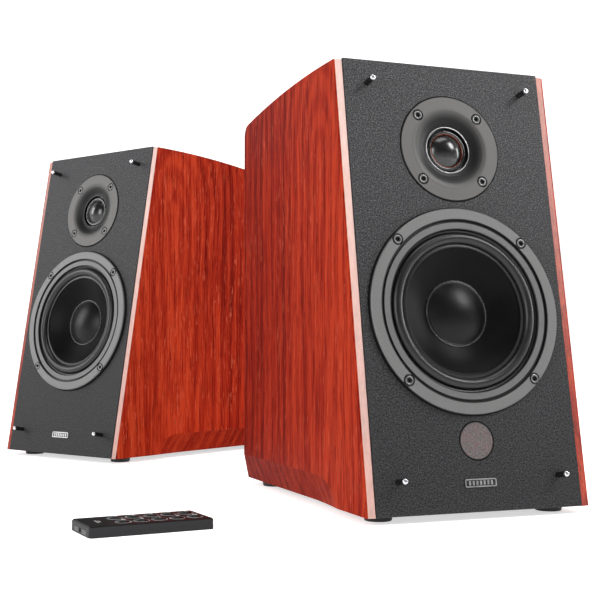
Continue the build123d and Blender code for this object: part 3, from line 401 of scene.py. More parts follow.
class Sheet:
    """Node tree of one material, with short ways to add what the finishes need."""

    def __init__(self, name: str) -> None:
        """Starts a material with an empty principled shader.

        Args:
            name: the material's name.
        """
        self.material = bpy.data.materials.new(name)
        self.material.use_nodes = True
        self.tree = self.material.node_tree
        self.tree.nodes.clear()
        self.shader = self.node("ShaderNodeBsdfPrincipled")
        output = self.node("ShaderNodeOutputMaterial")
        self.tree.links.new(self.shader.outputs[0], output.inputs[0])
        self.object_space = self.node("ShaderNodeTexCoord").outputs["Object"]

    def node(self, kind: str, inputs: dict | None = None, **settings: object) -> bpy.types.Node:
        """Adds a node.

        Args:
            kind: the node's type.
            inputs: socket values or sockets to link, by name or index.
            settings: attributes of the node.

        Returns:
            The node.
        """
        made = self.tree.nodes.new(kind)
        for key, value in settings.items():
            setattr(made, key, value)
        for key, value in (inputs or {}).items():
            socket = made.inputs[key]
            if isinstance(value, Socket):
                self.tree.links.new(value, socket)
            else:
                socket.default_value = value
        return made

    def math(self, operation: str, *values: Socket | float) -> Socket:
        """Adds a math node and returns its result."""
        inputs = dict(enumerate(values))
        return self.node("ShaderNodeMath", inputs, operation=operation).outputs[0]

    def add(self, first: Socket | float, second: Socket | float) -> Socket:
        """Adds two values."""
        return self.math("ADD", first, second)

    def times(self, first: Socket | float, second: Socket | float) -> Socket:
        """Multiplies two values."""
        return self.math("MULTIPLY", first, second)

    def vector(self, operation: str, *values: Socket | Colour) -> bpy.types.Node:
        """Adds a vector math node."""
        return self.node("ShaderNodeVectorMath", dict(enumerate(values)), operation=operation)

    def placed(self, place: Matrix) -> Socket:
        """Object coordinates in millimetres along a frame's axes.

        Args:
            place: the frame, as made by axes_matrix.

        Returns:
            The vector socket.
        """
        offset = self.vector("SUBTRACT", self.object_space, tuple(place.translation)).outputs[0]
        parts = []
        for i in range(3):
            axis = Vector(place.col[i][:3]).normalized() / MM
            parts.append(self.vector("DOT_PRODUCT", offset, tuple(axis)).outputs["Value"])
        return self.node("ShaderNodeCombineXYZ", dict(enumerate(parts))).outputs[0]

    def parts(self, vector: Socket) -> bpy.types.bpy_prop_collection:
        """The three components of a vector, as sockets."""
        return self.node("ShaderNodeSeparateXYZ", {0: vector}).outputs

    def radius(self, space: Socket) -> Socket:
        """Distance from the z axis of a frame's coordinates.

        Args:
            space: the frame's coordinates.

        Returns:
            The value socket.
        """
        parts = self.parts(space)
        flat = self.node("ShaderNodeCombineXYZ", {0: parts[0], 1: parts[1], 2: 0.0}).outputs[0]
        return self.vector("LENGTH", flat).outputs["Value"]

    def millimetres(self) -> Socket:
        """Object coordinates in millimetres."""
        return self.stretched(self.object_space, (1 / MM, 1 / MM, 1 / MM))

    def stretched(self, source: Socket, scale: Colour) -> Socket:
        """A vector multiplied axis by axis."""
        return self.vector("MULTIPLY", source, scale).outputs[0]

    def noise(self, source: Socket, scale: float, detail: float = 3.0, rough: float = 0.55) -> Socket:
        """Adds a noise texture and returns its value."""
        inputs = {"Vector": source, "Scale": scale, "Detail": detail, "Roughness": rough}
        return self.node("ShaderNodeTexNoise", inputs).outputs["Fac"]

    def remap(
        self, value: Socket, low: float, high: float, to_low: float = 0.0, to_high: float = 1.0
    ) -> Socket:
        """Maps a value smoothly from one range to another, clamped."""
        inputs = {"Value": value, 1: low, 2: high, 3: to_low, 4: to_high}
        return self.node("ShaderNodeMapRange", inputs, interpolation_type="SMOOTHSTEP").outputs[0]

    def ramp(self, value: Socket, stops: list[tuple[float, Colour]]) -> Socket:
        """Adds a colour ramp.

        Args:
            value: what drives it.
            stops: positions and colours.

        Returns:
            The colour socket.
        """
        made = self.node("ShaderNodeValToRGB", {0: value})
        elements = made.color_ramp.elements
        elements[0].position, elements[1].position = stops[0][0], stops[-1][0]
        elements[0].color, elements[1].color = (*stops[0][1], 1), (*stops[-1][1], 1)
        for position, colour in stops[1:-1]:
            elements.new(position).color = (*colour, 1)
        return made.outputs["Color"]

    def mix(
        self, share: Socket | float, first: Socket | Colour, second: Socket | Colour, blend: str = "MIX"
    ) -> Socket:
        """Mixes two colours.

        Args:
            share: how much of the second colour shows.
            first: colour or socket.
            second: colour or socket.
            blend: the way they mix.

        Returns:
            The colour socket.
        """
        made = self.node("ShaderNodeMix", data_type="RGBA", blend_type=blend)
        for index, value in ((0, share), (6, first), (7, second)):
            socket = made.inputs[index]
            if isinstance(value, Socket):
                self.tree.links.new(value, socket)
            else:
                socket.default_value = value if index == 0 else (*value, 1)
        return made.outputs[2]

    def feed(self, **values: object) -> None:
        """Sets or links inputs of the shader.

        Args:
            values: sockets or constants by input name, with underscores for spaces.
        """
        for key, value in values.items():
            socket = self.shader.inputs[key.replace("_", " ")]
            if isinstance(value, Socket):
                self.tree.links.new(value, socket)
            else:
                socket.default_value = value

    def bump(self, height: Socket, strength: float, distance: float) -> None:
        """Raises the surface by a height field.

        Args:
            height: the height field.
            strength: how strongly it shows.
            distance: height of a full step, in metres.
        """
        inputs = {"Height": height, "Strength": strength, "Distance": distance}
        made = self.node("ShaderNodeBump", inputs)
        self.tree.links.new(made.outputs[0], self.shader.inputs["Normal"])


@dataclass(frozen=True)
class GrainFinish:
    """Plastics, rubbers, paints and metals: a fine grain over a mottled colour."""

    name: str
    dark: Colour
    light: Colour
    roughness: tuple[float, float] = (0.4, 0.55)
    metallic: float = 0.0
    grain: float = 1.2
    mottle: float = 0.06
    relief: float = 0.00004
    coat: float = 0.0
    specular: float = 0.5

    def material(self) -> Material:
        """Builds the finish; grain and mottle are in cycles per millimetre."""
        sheet = Sheet(self.name)
        space = sheet.millimetres()
        fine = sheet.noise(space, self.grain, 4.0, 0.65)
        broad = sheet.noise(space, self.mottle, 3.0)
        blend = sheet.add(sheet.times(fine, 0.55), sheet.times(broad, 0.45))
        sheet.feed(
            Base_Color=sheet.ramp(blend, [(0.36, self.dark), (0.64, self.light)]),
            Roughness=sheet.remap(blend, 0.35, 0.65, *self.roughness),
            Metallic=self.metallic,
            Coat_Weight=self.coat,
            Coat_Roughness=0.14,
            Specular_IOR_Level=self.specular,
        )
        sheet.bump(fine, 0.6, self.relief)
        return sheet.material


@dataclass(frozen=True)
class VeneerFinish:
    """Lacquered red-wood veneer with upright grain on a speaker's side panels, with a painted highlight on its
    front lips, painted shade on the facet along its foot and a painted sheen that fades towards the rear.
    """

    place: SpeakerFrame
    highlight_side: Side
    deep: Colour = (0.085, 0.0020, 0.0006)
    body: Colour = (0.205, 0.0095, 0.0028)
    bright: Colour = (0.340, 0.0290, 0.0080)
    fleck: Colour = (0.50, 0.095, 0.045)
    # Painted shade: darker colour laid over the downward-leaning facet at the panel's foot.
    facet_painted_shade: Colour = (0.110, 0.007, 0.003)
    # Painted highlight: pale colour laid on the front lips where the lamps reflect.
    lip: Colour = (0.74, 0.545, 0.49)
    lip_edge: float = 83.9
    arch_depth: float = 78.0
    arch_up: float = 250.0
    ring_spacing: float = 13.0
    facet_slant: float = 0.5
    facet_normal: tuple[float, float] = (-0.10, -0.17)
    seed: float = 0.0

    def material(self) -> Material:
        """Builds the veneer in the speaker's own axes."""
        name = f"{self.place.unit.value}_red_wood_veneer"
        sheet = Sheet(name)
        space = sheet.placed(self.place.foot)
        parts = sheet.parts(space)
        facet = self.facet_share(sheet)
        slanted = sheet.times(sheet.times(parts[2], -self.facet_slant), facet)
        depth = sheet.add(parts[1], slanted)
        wobble = self.wobble(sheet, depth, parts)
        grain_space = sheet.node("ShaderNodeCombineXYZ", {0: parts[0], 1: wobble, 2: parts[2]}).outputs[0]
        rings = self.rings(sheet, wobble, parts)
        streaks = sheet.noise(sheet.stretched(grain_space, (0.3, 0.52, 0.017)), 1.0, 5.0, 0.75)
        bands = sheet.noise(sheet.stretched(grain_space, (0.05, 0.06, 0.0026)), 1.0, 3.0, 0.5)
        tone = sheet.add(sheet.times(streaks, 0.74), sheet.times(bands, 0.20))
        tone = sheet.add(tone, sheet.times(rings, 0.075))
        # Painted sheen: the grain tone is lifted towards the front and lowered towards the rear.
        tone = sheet.add(tone, sheet.remap(parts[1], 30.0, 240.0, 0.045, -0.045))
        colour = sheet.ramp(tone, [(0.37, self.deep), (0.49, self.body), (0.63, self.bright)])
        pores = self.pores(sheet, grain_space)
        colour = sheet.mix(sheet.times(pores, 0.6), colour, self.deep)
        flecks = self.flecks(sheet, grain_space)
        colour = sheet.mix(sheet.times(flecks, 0.45), colour, self.fleck)
        # Painted shade on the downward-leaning facet.
        colour = sheet.mix(sheet.times(facet, 0.40), colour, self.facet_painted_shade)
        # Painted highlight on the front lips, stronger on one side and towards the top.
        colour = sheet.mix(self.lip_highlight_share(sheet, streaks), colour, self.lip)
        sheet.feed(
            Base_Color=colour,
            Roughness=sheet.remap(streaks, 0.3, 0.7, 0.46, 0.34),
            Specular_IOR_Level=0.01,
        )
        relief = sheet.math("SUBTRACT", sheet.times(streaks, 0.5), sheet.times(pores, 0.7))
        sheet.bump(relief, 0.5, 0.00015)
        return sheet.material

    def facet_share(self, sheet: Sheet) -> Socket:
        """1 on the leaning facet along the panel's foot, 0 elsewhere.

        Args:
            sheet: the material being built.

        Returns:
            The share.
        """
        normal = sheet.node("ShaderNodeTexCoord").outputs["Normal"]
        upward = sheet.parts(normal)[2]
        return sheet.remap(upward, self.facet_normal[0], self.facet_normal[1])

    def lip_highlight_share(self, sheet: Sheet, streaks: Socket) -> Socket:
        """Share of the painted highlight on the front lips: more on one side, and towards their tops.

        Args:
            sheet: the material being built.
            streaks: the grain's value.

        Returns:
            The share of the lip's painted highlight colour.
        """
        normal = sheet.node("ShaderNodeTexCoord").outputs["Normal"]
        out = Vector(self.place.baffle.col[2][:3]).normalized()
        facing = sheet.remap(sheet.vector("DOT_PRODUCT", normal, tuple(out)).outputs["Value"], 0.80, 0.93)
        parts = sheet.parts(sheet.placed(self.place.baffle))
        # Painted highlight is stronger on the side towards the lamps.
        lamp_side_share = sheet.remap(sheet.times(parts[0], float(self.highlight_side.value)), -20.0, 20.0)
        pale = sheet.remap(parts[1], 0.0, 320.0, 0.66, 0.94)
        deep = sheet.remap(parts[1], 60.0, 330.0, 0.08, 0.48)
        spread = sheet.math("SUBTRACT", pale, deep)
        share = sheet.add(deep, sheet.times(spread, lamp_side_share))
        grain = sheet.remap(streaks, 0.3, 0.7, 0.86, 1.0)
        within = sheet.remap(sheet.math("ABSOLUTE", parts[0]), self.lip_edge + 0.15, self.lip_edge - 0.15)
        return sheet.times(sheet.times(share, grain), sheet.times(facing, within))

    def wobble(self, sheet: Sheet, depth: Socket, parts: list[Socket]) -> Socket:
        """The depth coordinate with slow bends, so that the grain isn't ruled straight.

        Args:
            sheet: the material being built.
            depth: distance behind the foot's front edge.
            parts: the panel's three coordinates.

        Returns:
            The bent coordinate.
        """
        space = sheet.node("ShaderNodeCombineXYZ", {0: parts[0], 1: depth, 2: parts[2]}).outputs[0]
        slow = sheet.noise(sheet.stretched(space, (0.01, 0.012, 0.005)), 1.0, 2.0, 0.5)
        quick = sheet.noise(sheet.stretched(space, (0.05, 0.12, 0.02)), 1.0, 2.0, 0.5)
        bend = sheet.add(sheet.times(slow, 18.0), sheet.times(quick, 2.0))
        return sheet.add(sheet.add(depth, bend), self.seed)

    def rings(self, sheet: Sheet, wobble: Socket, parts: list[Socket]) -> Socket:
        """Growth rings cut at a flat angle, which rise to pointed arches.

        Args:
            sheet: the material being built.
            wobble: the bent depth coordinate.
            parts: the panel's three coordinates.

        Returns:
            The rings' value, from 0 to 1.
        """
        across = sheet.math("SUBTRACT", wobble, self.arch_depth + 14.0 + self.seed)
        along = sheet.times(sheet.math("SUBTRACT", parts[2], self.arch_up), 0.13)
        below = sheet.math("MINIMUM", along, 0.0)
        beyond = sheet.times(sheet.math("MAXIMUM", along, 0.0), 4.0)
        along = sheet.add(below, beyond)
        squares = [sheet.math("POWER", sheet.math("ABSOLUTE", part), 2.0) for part in (across, along)]
        length = sheet.math("SQRT", sheet.add(*squares))
        wave = sheet.math("SINE", sheet.times(length, 2 * math.pi / self.ring_spacing))
        return sheet.remap(wave, -1.0, 1.0)

    def flecks(self, sheet: Sheet, space: Socket) -> Socket:
        """Short pale dashes along the grain.

        Args:
            sheet: the material being built.
            space: the grain's bent coordinates.

        Returns:
            Their share.
        """
        dash = sheet.noise(sheet.stretched(space, (0.5, 0.75, 0.085)), 1.0, 2.0, 0.5)
        cover = sheet.noise(sheet.stretched(space, (0.03, 0.04, 0.02)), 1.0, 2.0, 0.5)
        return sheet.times(sheet.remap(dash, 0.58, 0.70), sheet.remap(cover, 0.36, 0.6, 0.25, 1.0))

    def pores(self, sheet: Sheet, space: Socket) -> Socket:
        """Thin dark vessels along the grain."""
        line = sheet.noise(sheet.stretched(space, (0.5, 0.75, 0.05)), 1.0, 2.0, 0.5)
        return sheet.remap(line, 0.44, 0.34)


@dataclass(frozen=True)
class BaffleFinish:
    """Dark grey board face with a fine sparkling grain, and painted light that makes it a little paler and its
    sparkle livelier towards the top.
    """

    place: SpeakerFrame
    # Painted light: the board runs from the low colour at the bottom to the paler high colour at the top.
    low: Colour = (0.0165, 0.0165, 0.0173)
    high: Colour = (0.0310, 0.0305, 0.0320)
    sparkle: Colour = (0.16, 0.16, 0.17)
    sparkle_share: float = 0.75
    pit: float = 0.30
    crest: float = 2.0
    height: float = 317.5

    def material(self) -> Material:
        """Builds the finish in the baffle's own axes."""
        sheet = Sheet(f"{self.place.unit.value}_speckled_board")
        space = sheet.placed(self.place.baffle)
        up = sheet.parts(space)[1]
        # Painted light: paler towards the top.
        base = sheet.mix(sheet.remap(up, 0.0, self.height), self.low, self.high)
        grain = sheet.noise(space, 0.95, 1.0, 0.6)
        level = sheet.remap(grain, 0.32, 0.68, self.pit, self.crest)
        tint = sheet.node("ShaderNodeCombineXYZ", {0: level, 1: level, 2: level}).outputs[0]
        base = sheet.mix(1.0, base, tint, "MULTIPLY")
        dots = sheet.noise(space, 1.15, 0.0, 0.5)
        # Painted light: more sparkle towards the top.
        sparkle_top_light = sheet.remap(up, 0.0, self.height, 0.35 * self.sparkle_share, self.sparkle_share)
        share = sheet.times(sheet.remap(dots, 0.60, 0.80), sparkle_top_light)
        sheet.feed(
            Base_Color=sheet.mix(share, base, self.sparkle),
            Roughness=sheet.remap(grain, 0.3, 0.7, 0.5, 0.66),
            Specular_IOR_Level=0.2,
        )
        sheet.bump(grain, 0.6, 0.00012)
        return sheet.material


@dataclass(frozen=True)
class FrameFinish:
    """Satin grey woofer flange, turned on a lathe, with painted shade in black in its groove, inside its seat and
    in a line round its outer edge.
    """

    place: SpeakerFrame
    rim: Colour = (0.150, 0.149, 0.148)
    seat: Colour = (0.125, 0.125, 0.124)
    # Painted shade: this black fills the groove, the line round the outer edge and the inner seat.
    black: Colour = (0.006, 0.006, 0.006)
    groove: tuple[float, float] = (62.3, 64.9)
    shadow_edge_radius: float = 72.2
    seat_radius: float = 58.3

    def material(self) -> Material:
        """Builds the finish about the woofer's axis."""
        sheet = Sheet(f"{self.place.unit.value}_turned_frame")
        space = sheet.placed(self.place.on_baffle(self.place.woofer_up))
        radius = sheet.radius(space)
        fine = sheet.noise(space, 1.2, 3.0, 0.6)
        turned = sheet.times(sheet.math("SINE", sheet.times(radius, 9.0)), 0.12)
        tone = sheet.add(fine, turned)
        metal = sheet.mix(sheet.remap(radius, 60.0, 66.0), self.seat, self.rim)
        metal = sheet.mix(sheet.remap(tone, 0.35, 0.65), metal, (0.84, 0.84, 0.84), "MULTIPLY")
        # Painted shade: black in the groove, beyond the outer edge and inside the seat.
        middle = sum(self.groove) / 2
        half = (self.groove[1] - self.groove[0]) / 2
        offset = sheet.math("ABSOLUTE", sheet.math("SUBTRACT", radius, middle))
        dark = sheet.remap(offset, half + 0.15, half - 0.15)
        dark = sheet.math("MAXIMUM", dark, sheet.remap(radius, self.shadow_edge_radius, self.shadow_edge_radius + 0.4))
        dark = sheet.math("MAXIMUM", dark, sheet.remap(radius, self.seat_radius, self.seat_radius - 0.4))
        sheet.feed(
            Base_Color=sheet.mix(dark, metal, self.black),
            Roughness=sheet.remap(tone, 0.3, 0.7, 0.40, 0.50),
            Metallic=sheet.remap(dark, 0.0, 1.0, 0.18, 0.0),
            Specular_IOR_Level=0.35,
        )
        sheet.bump(tone, 0.4, 0.00003)
        return sheet.material


@dataclass(frozen=True)
class FaceplateFinish:
    """Satin grey tweeter flange with painted shade that turns it dark down its dish, and a painted shadow line
    round its outer edge.
    """

    place: SpeakerFrame
    rim: Colour = (0.088, 0.085, 0.083)
    # Painted shade: the dish fades to this near-black towards the dome.
    throat: Colour = (0.0025, 0.0025, 0.0025)
    dish: tuple[float, float] = (31.5, 22.0)
    shadow_edge_radius: float = 38.1

    def material(self) -> Material:
        """Builds the finish about the tweeter's axis."""
        sheet = Sheet(f"{self.place.unit.value}_satin_faceplate")
        space = sheet.placed(self.place.on_baffle(self.place.tweeter_up))
        radius = sheet.radius(space)
        fine = sheet.noise(space, 1.2, 3.0, 0.6)
        rim = sheet.mix(fine, self.rim, tuple(c * 1.22 for c in self.rim))
        # Painted shade down the dish and a painted shadow line beyond the outer edge.
        down = sheet.remap(radius, self.dish[0], self.dish[1])
        down = sheet.math("MAXIMUM", down, sheet.remap(radius, self.shadow_edge_radius, self.shadow_edge_radius + 0.4))
        sheet.feed(
            Base_Color=sheet.mix(down, rim, self.throat),
            Roughness=sheet.remap(fine, 0.3, 0.7, 0.42, 0.52),
            Metallic=0.2,
            Specular_IOR_Level=0.3,
        )
        sheet.bump(fine, 0.4, 0.00003)
        return sheet.material


@dataclass(frozen=True)
class PegFinish:
    """Black grille pegs whose rounded tips are bright."""

    place: SpeakerFrame
    bright_from: float = 10.3
    black: Colour = (0.008, 0.008, 0.008)
    tip: Colour = (0.50, 0.50, 0.52)

    def material(self) -> Material:
        """Builds the finish by the distance in front of the baffle."""
        sheet = Sheet(f"{self.place.unit.value}_tipped_pegs")
        space = sheet.placed(self.place.baffle)
        out = sheet.parts(space)[2]
        share = sheet.remap(out, self.bright_from - 0.15, self.bright_from + 0.15)
        fine = sheet.noise(space, 2.0, 2.0)
        tip = sheet.mix(fine, self.tip, tuple(c * 1.25 for c in self.tip))
        sheet.feed(
            Base_Color=sheet.mix(share, self.black, tip),
            Metallic=share,
            Roughness=sheet.remap(fine, 0.3, 0.7, 0.16, 0.26),
        )
        sheet.bump(fine, 0.3, 0.00001)
        return sheet.material


@dataclass(frozen=True)
class WindowFinish:
    """Smoky window over the remote's receiver, with a net of fine reddish dots and a painted shadow round its
    edge.
    """

    place: SpeakerFrame
    smoke: Colour = (0.070, 0.062, 0.061)
    dot: Colour = (0.30, 0.075, 0.07)
    shadow_edge_radius: float = 12.35

    def material(self) -> Material:
        """Builds the finish about the window's middle."""
        sheet = Sheet("smoky_receiver_window")
        space = sheet.placed(self.place.on_baffle(self.place.window_up))
        radius = sheet.radius(space)
        cells = sheet.node("ShaderNodeTexVoronoi", {"Vector": space, "Scale": 0.52, "Randomness": 0.3})
        dots = sheet.remap(cells.outputs["Distance"], 0.40, 0.16)
        patchy = sheet.remap(sheet.noise(space, 0.16, 2.0), 0.35, 0.6)
        cloud = sheet.remap(sheet.noise(space, 0.75, 2.0, 0.6), 0.34, 0.66)
        mottled = sheet.mix(cloud, self.smoke, tuple(c * 1.9 for c in self.smoke))
        share = sheet.times(sheet.times(dots, patchy), 0.45)
        colour = sheet.mix(share, mottled, self.dot)
        # Painted shadow: near-black ring at the window's edge.
        edge = sheet.remap(radius, self.shadow_edge_radius - 0.5, self.shadow_edge_radius + 0.3)
        sheet.feed(
            Base_Color=sheet.mix(edge, colour, (0.008, 0.008, 0.008)),
            Roughness=sheet.remap(dots, 0.0, 1.0, 0.32, 0.45),
            Coat_Weight=0.25,
            Coat_Roughness=0.25,
            Specular_IOR_Level=0.35,
        )
        sheet.bump(dots, 0.3, 0.00003)
        return sheet.material


@dataclass(frozen=True)
class ScrewFinish:
    """Blackened socket screws."""

    place: SpeakerFrame

    def material(self) -> Material:
        """Builds the finish from a fine grain."""
        sheet = Sheet(f"{self.place.unit.value}_socket_screws")
        space = sheet.millimetres()
        fine = sheet.noise(space, 2.0, 3.0)
        sheet.feed(
            Base_Color=sheet.ramp(fine, [(0.35, (0.008, 0.008, 0.008)), (0.65, (0.020, 0.020, 0.020))]),
            Roughness=sheet.remap(fine, 0.3, 0.7, 0.30, 0.45),
            Metallic=0.3,
        )
        sheet.bump(fine, 0.4, 0.00002)
        return sheet.material


SHARED_FINISHES: dict[str, GrainFinish] = {
    "board": GrainFinish(
        "black_vinyl_board", dark=(0.01, 0.01, 0.011), light=(0.024, 0.024, 0.026),
        roughness=(0.48, 0.62),
    ),
    "rubber": GrainFinish(
        "black_surround_rubber", dark=(0.0035, 0.0035, 0.0035), light=(0.008, 0.008, 0.008),
        roughness=(0.32, 0.4), grain=2.2, mottle=0.05, relief=0.00001, specular=0.42,
    ),
    "cone": GrainFinish(
        "black_coated_cone", dark=(0.0018, 0.0018, 0.002), light=(0.0045, 0.0045, 0.0048),
        roughness=(0.34, 0.42), mottle=0.04, relief=0.00003, specular=0.06,
    ),
    "cap": GrainFinish(
        "black_cap_paper", dark=(0.0018, 0.0018, 0.002), light=(0.0042, 0.0042, 0.0045),
        roughness=(0.32, 0.4), grain=1.4, mottle=0.05, relief=0.00003, specular=0.2,
    ),
    # Dark glue for the cap's bead and the badge's field; also painted shade on the passive tweeter's rings.
    "glue": GrainFinish(
        "dark_glue_and_ring_shade", dark=(0.012, 0.012, 0.012), light=(0.035, 0.035, 0.035), roughness=(0.22, 0.32),
        grain=1.5, mottle=0.1, relief=0.00005,
    ),
    "silk": GrainFinish(
        "coated_silk_dome", dark=(0.002, 0.002, 0.002), light=(0.005, 0.0045, 0.0045),
        roughness=(0.24, 0.32), grain=1.8, mottle=0.1, relief=0.00001, coat=0.6, specular=0.35,
    ),
    "cloth": GrainFinish(
        "spider_weave", dark=(0.16, 0.1, 0.04), light=(0.3, 0.2, 0.09), roughness=(0.75, 0.9), grain=1.4,
        mottle=0.1, relief=0.0001,
    ),
    "steel": GrainFinish(
        "motor_steel", dark=(0.12, 0.12, 0.12), light=(0.26, 0.26, 0.27), roughness=(0.35, 0.5),
        metallic=0.9, grain=0.8, mottle=0.05, relief=0.00005,
    ),
    # Painted highlight: bright metal rings that stand for light caught by the screw heads' rims.
    "screw_rim": GrainFinish(
        "screw_rim_painted_highlight", dark=(0.13, 0.13, 0.13), light=(0.24, 0.24, 0.24), roughness=(0.34, 0.46),
        metallic=0.85, grain=2.0, mottle=0.2, relief=0.00001,
    ),
    "gap": GrainFinish(
        "shadow_gap", dark=(0.0015, 0.0015, 0.0015), light=(0.004, 0.004, 0.004), roughness=(0.7, 0.85),
        grain=1.5, mottle=0.1, relief=0.00001, specular=0.1,
    ),
    # Silver for the badge's rim; also painted highlight on the active tweeter's throat ring.
    "silver": GrainFinish(
        "silver_trim_and_ring_glint", dark=(0.34, 0.34, 0.34), light=(0.5, 0.5, 0.5), roughness=(0.3, 0.4), metallic=1.0,
        grain=2.0, mottle=0.2, relief=0.00001,
    ),
    # Painted highlight: copper colour for the glint on the active dome's rim ring.
    "copper": GrainFinish(
        "copper_trim", dark=(0.2, 0.04, 0.02), light=(0.34, 0.085, 0.04), roughness=(0.3, 0.4),
        metallic=0.6, grain=2.0, mottle=0.2, relief=0.00001,
    ),
    "plastic": GrainFinish(
        "moulded_black_plastic", dark=(0.01, 0.01, 0.011), light=(0.022, 0.022, 0.023),
        roughness=(0.36, 0.5),
    ),
    "plate": GrainFinish(
        "powder_coated_plate", dark=(0.014, 0.014, 0.015), light=(0.036, 0.036, 0.038),
        roughness=(0.5, 0.66), grain=1.1, mottle=0.03, relief=0.00012,
    ),
    "knob": GrainFinish(
        "soft_knob_plastic", dark=(0.008, 0.008, 0.008), light=(0.018, 0.018, 0.019),
        roughness=(0.42, 0.55),
    ),
    "switch": GrainFinish(
        "switch_plastic", dark=(0.006, 0.006, 0.006), light=(0.014, 0.014, 0.014), roughness=(0.2, 0.32),
    ),
    "nickel": GrainFinish(
        "plated_barrels", dark=(0.5, 0.44, 0.28), light=(0.7, 0.62, 0.42), roughness=(0.16, 0.28),
        metallic=1.0, grain=1.4, mottle=0.2, relief=0.00001,
    ),
    "feet": GrainFinish(
        "foot_rubber", dark=(0.006, 0.006, 0.006), light=(0.014, 0.014, 0.014), roughness=(0.6, 0.75),
        grain=1.6, mottle=0.1, relief=0.00006,
    ),
    "green": GrainFinish(
        "circuit_board", dark=(0.004, 0.035, 0.014), light=(0.02, 0.1, 0.04), roughness=(0.35, 0.5),
        grain=0.5, mottle=0.08, relief=0.00005,
    ),
    "tape": GrainFinish(
        "winding_tape", dark=(0.35, 0.18, 0.02), light=(0.55, 0.33, 0.06), roughness=(0.3, 0.45),
        grain=0.3, mottle=0.05, relief=0.0001,
    ),
    "case_edge": GrainFinish(
        "remote_side_plastic", dark=(0.022, 0.022, 0.023), light=(0.046, 0.046, 0.048),
        roughness=(0.42, 0.56), grain=1.5, mottle=0.08,
    ),
    "button": GrainFinish(
        "button_gloss", dark=(0.004, 0.004, 0.004), light=(0.008, 0.008, 0.008), roughness=(0.22, 0.3),
        mottle=0.1, relief=0.000003, specular=0.14,
    ),
    "print_grey": GrainFinish(
        "pale_grey_print", dark=(0.4, 0.4, 0.41), light=(0.58, 0.58, 0.59), roughness=(0.45, 0.6),
        grain=1.5, mottle=0.1, relief=0.00001,
    ),
    "print_white": GrainFinish(
        "white_print", dark=(0.62, 0.62, 0.62), light=(0.8, 0.8, 0.8), roughness=(0.45, 0.6), grain=1.5,
        mottle=0.1, relief=0.00001,
    ),
    "cell": GrainFinish(
        "cell_steel", dark=(0.42, 0.42, 0.43), light=(0.62, 0.62, 0.63), roughness=(0.22, 0.36),
        metallic=1.0, grain=1.0, mottle=0.1, relief=0.00002,
    ),
    "red": GrainFinish(
        "red_insert", dark=(0.3, 0.012, 0.01), light=(0.48, 0.03, 0.02), roughness=(0.3, 0.42),
    ),
    "white": GrainFinish(
        "white_insert", dark=(0.55, 0.55, 0.54), light=(0.75, 0.75, 0.73), roughness=(0.3, 0.42),
    ),
}


@dataclass(frozen=True)
class Finishes:
    """Every finish that more than one piece shares, by its key in the table above."""

    made: dict[str, Material]

    @classmethod
    def build(cls) -> "Finishes":
        """Builds the shared materials."""
        return cls({key: finish.material() for key, finish in SHARED_FINISHES.items()})

    def __getitem__(self, key: str) -> Material:
        """The material with a key."""
        return self.made[key]


def dress(node: str, material: Material) -> None:
    """Gives a carried-over CAD node its finish.

    Args:
        node: the node's name.
        material: its finish.
    """
    item = frame["nodes"][node]
    if not item.material_slots:
        item.data.materials.append(material)
    for slot in item.material_slots:
        slot.material = material
    LOG.info("%s: %s", node, material.name)


# ---------------------------------------------------------------- drivers


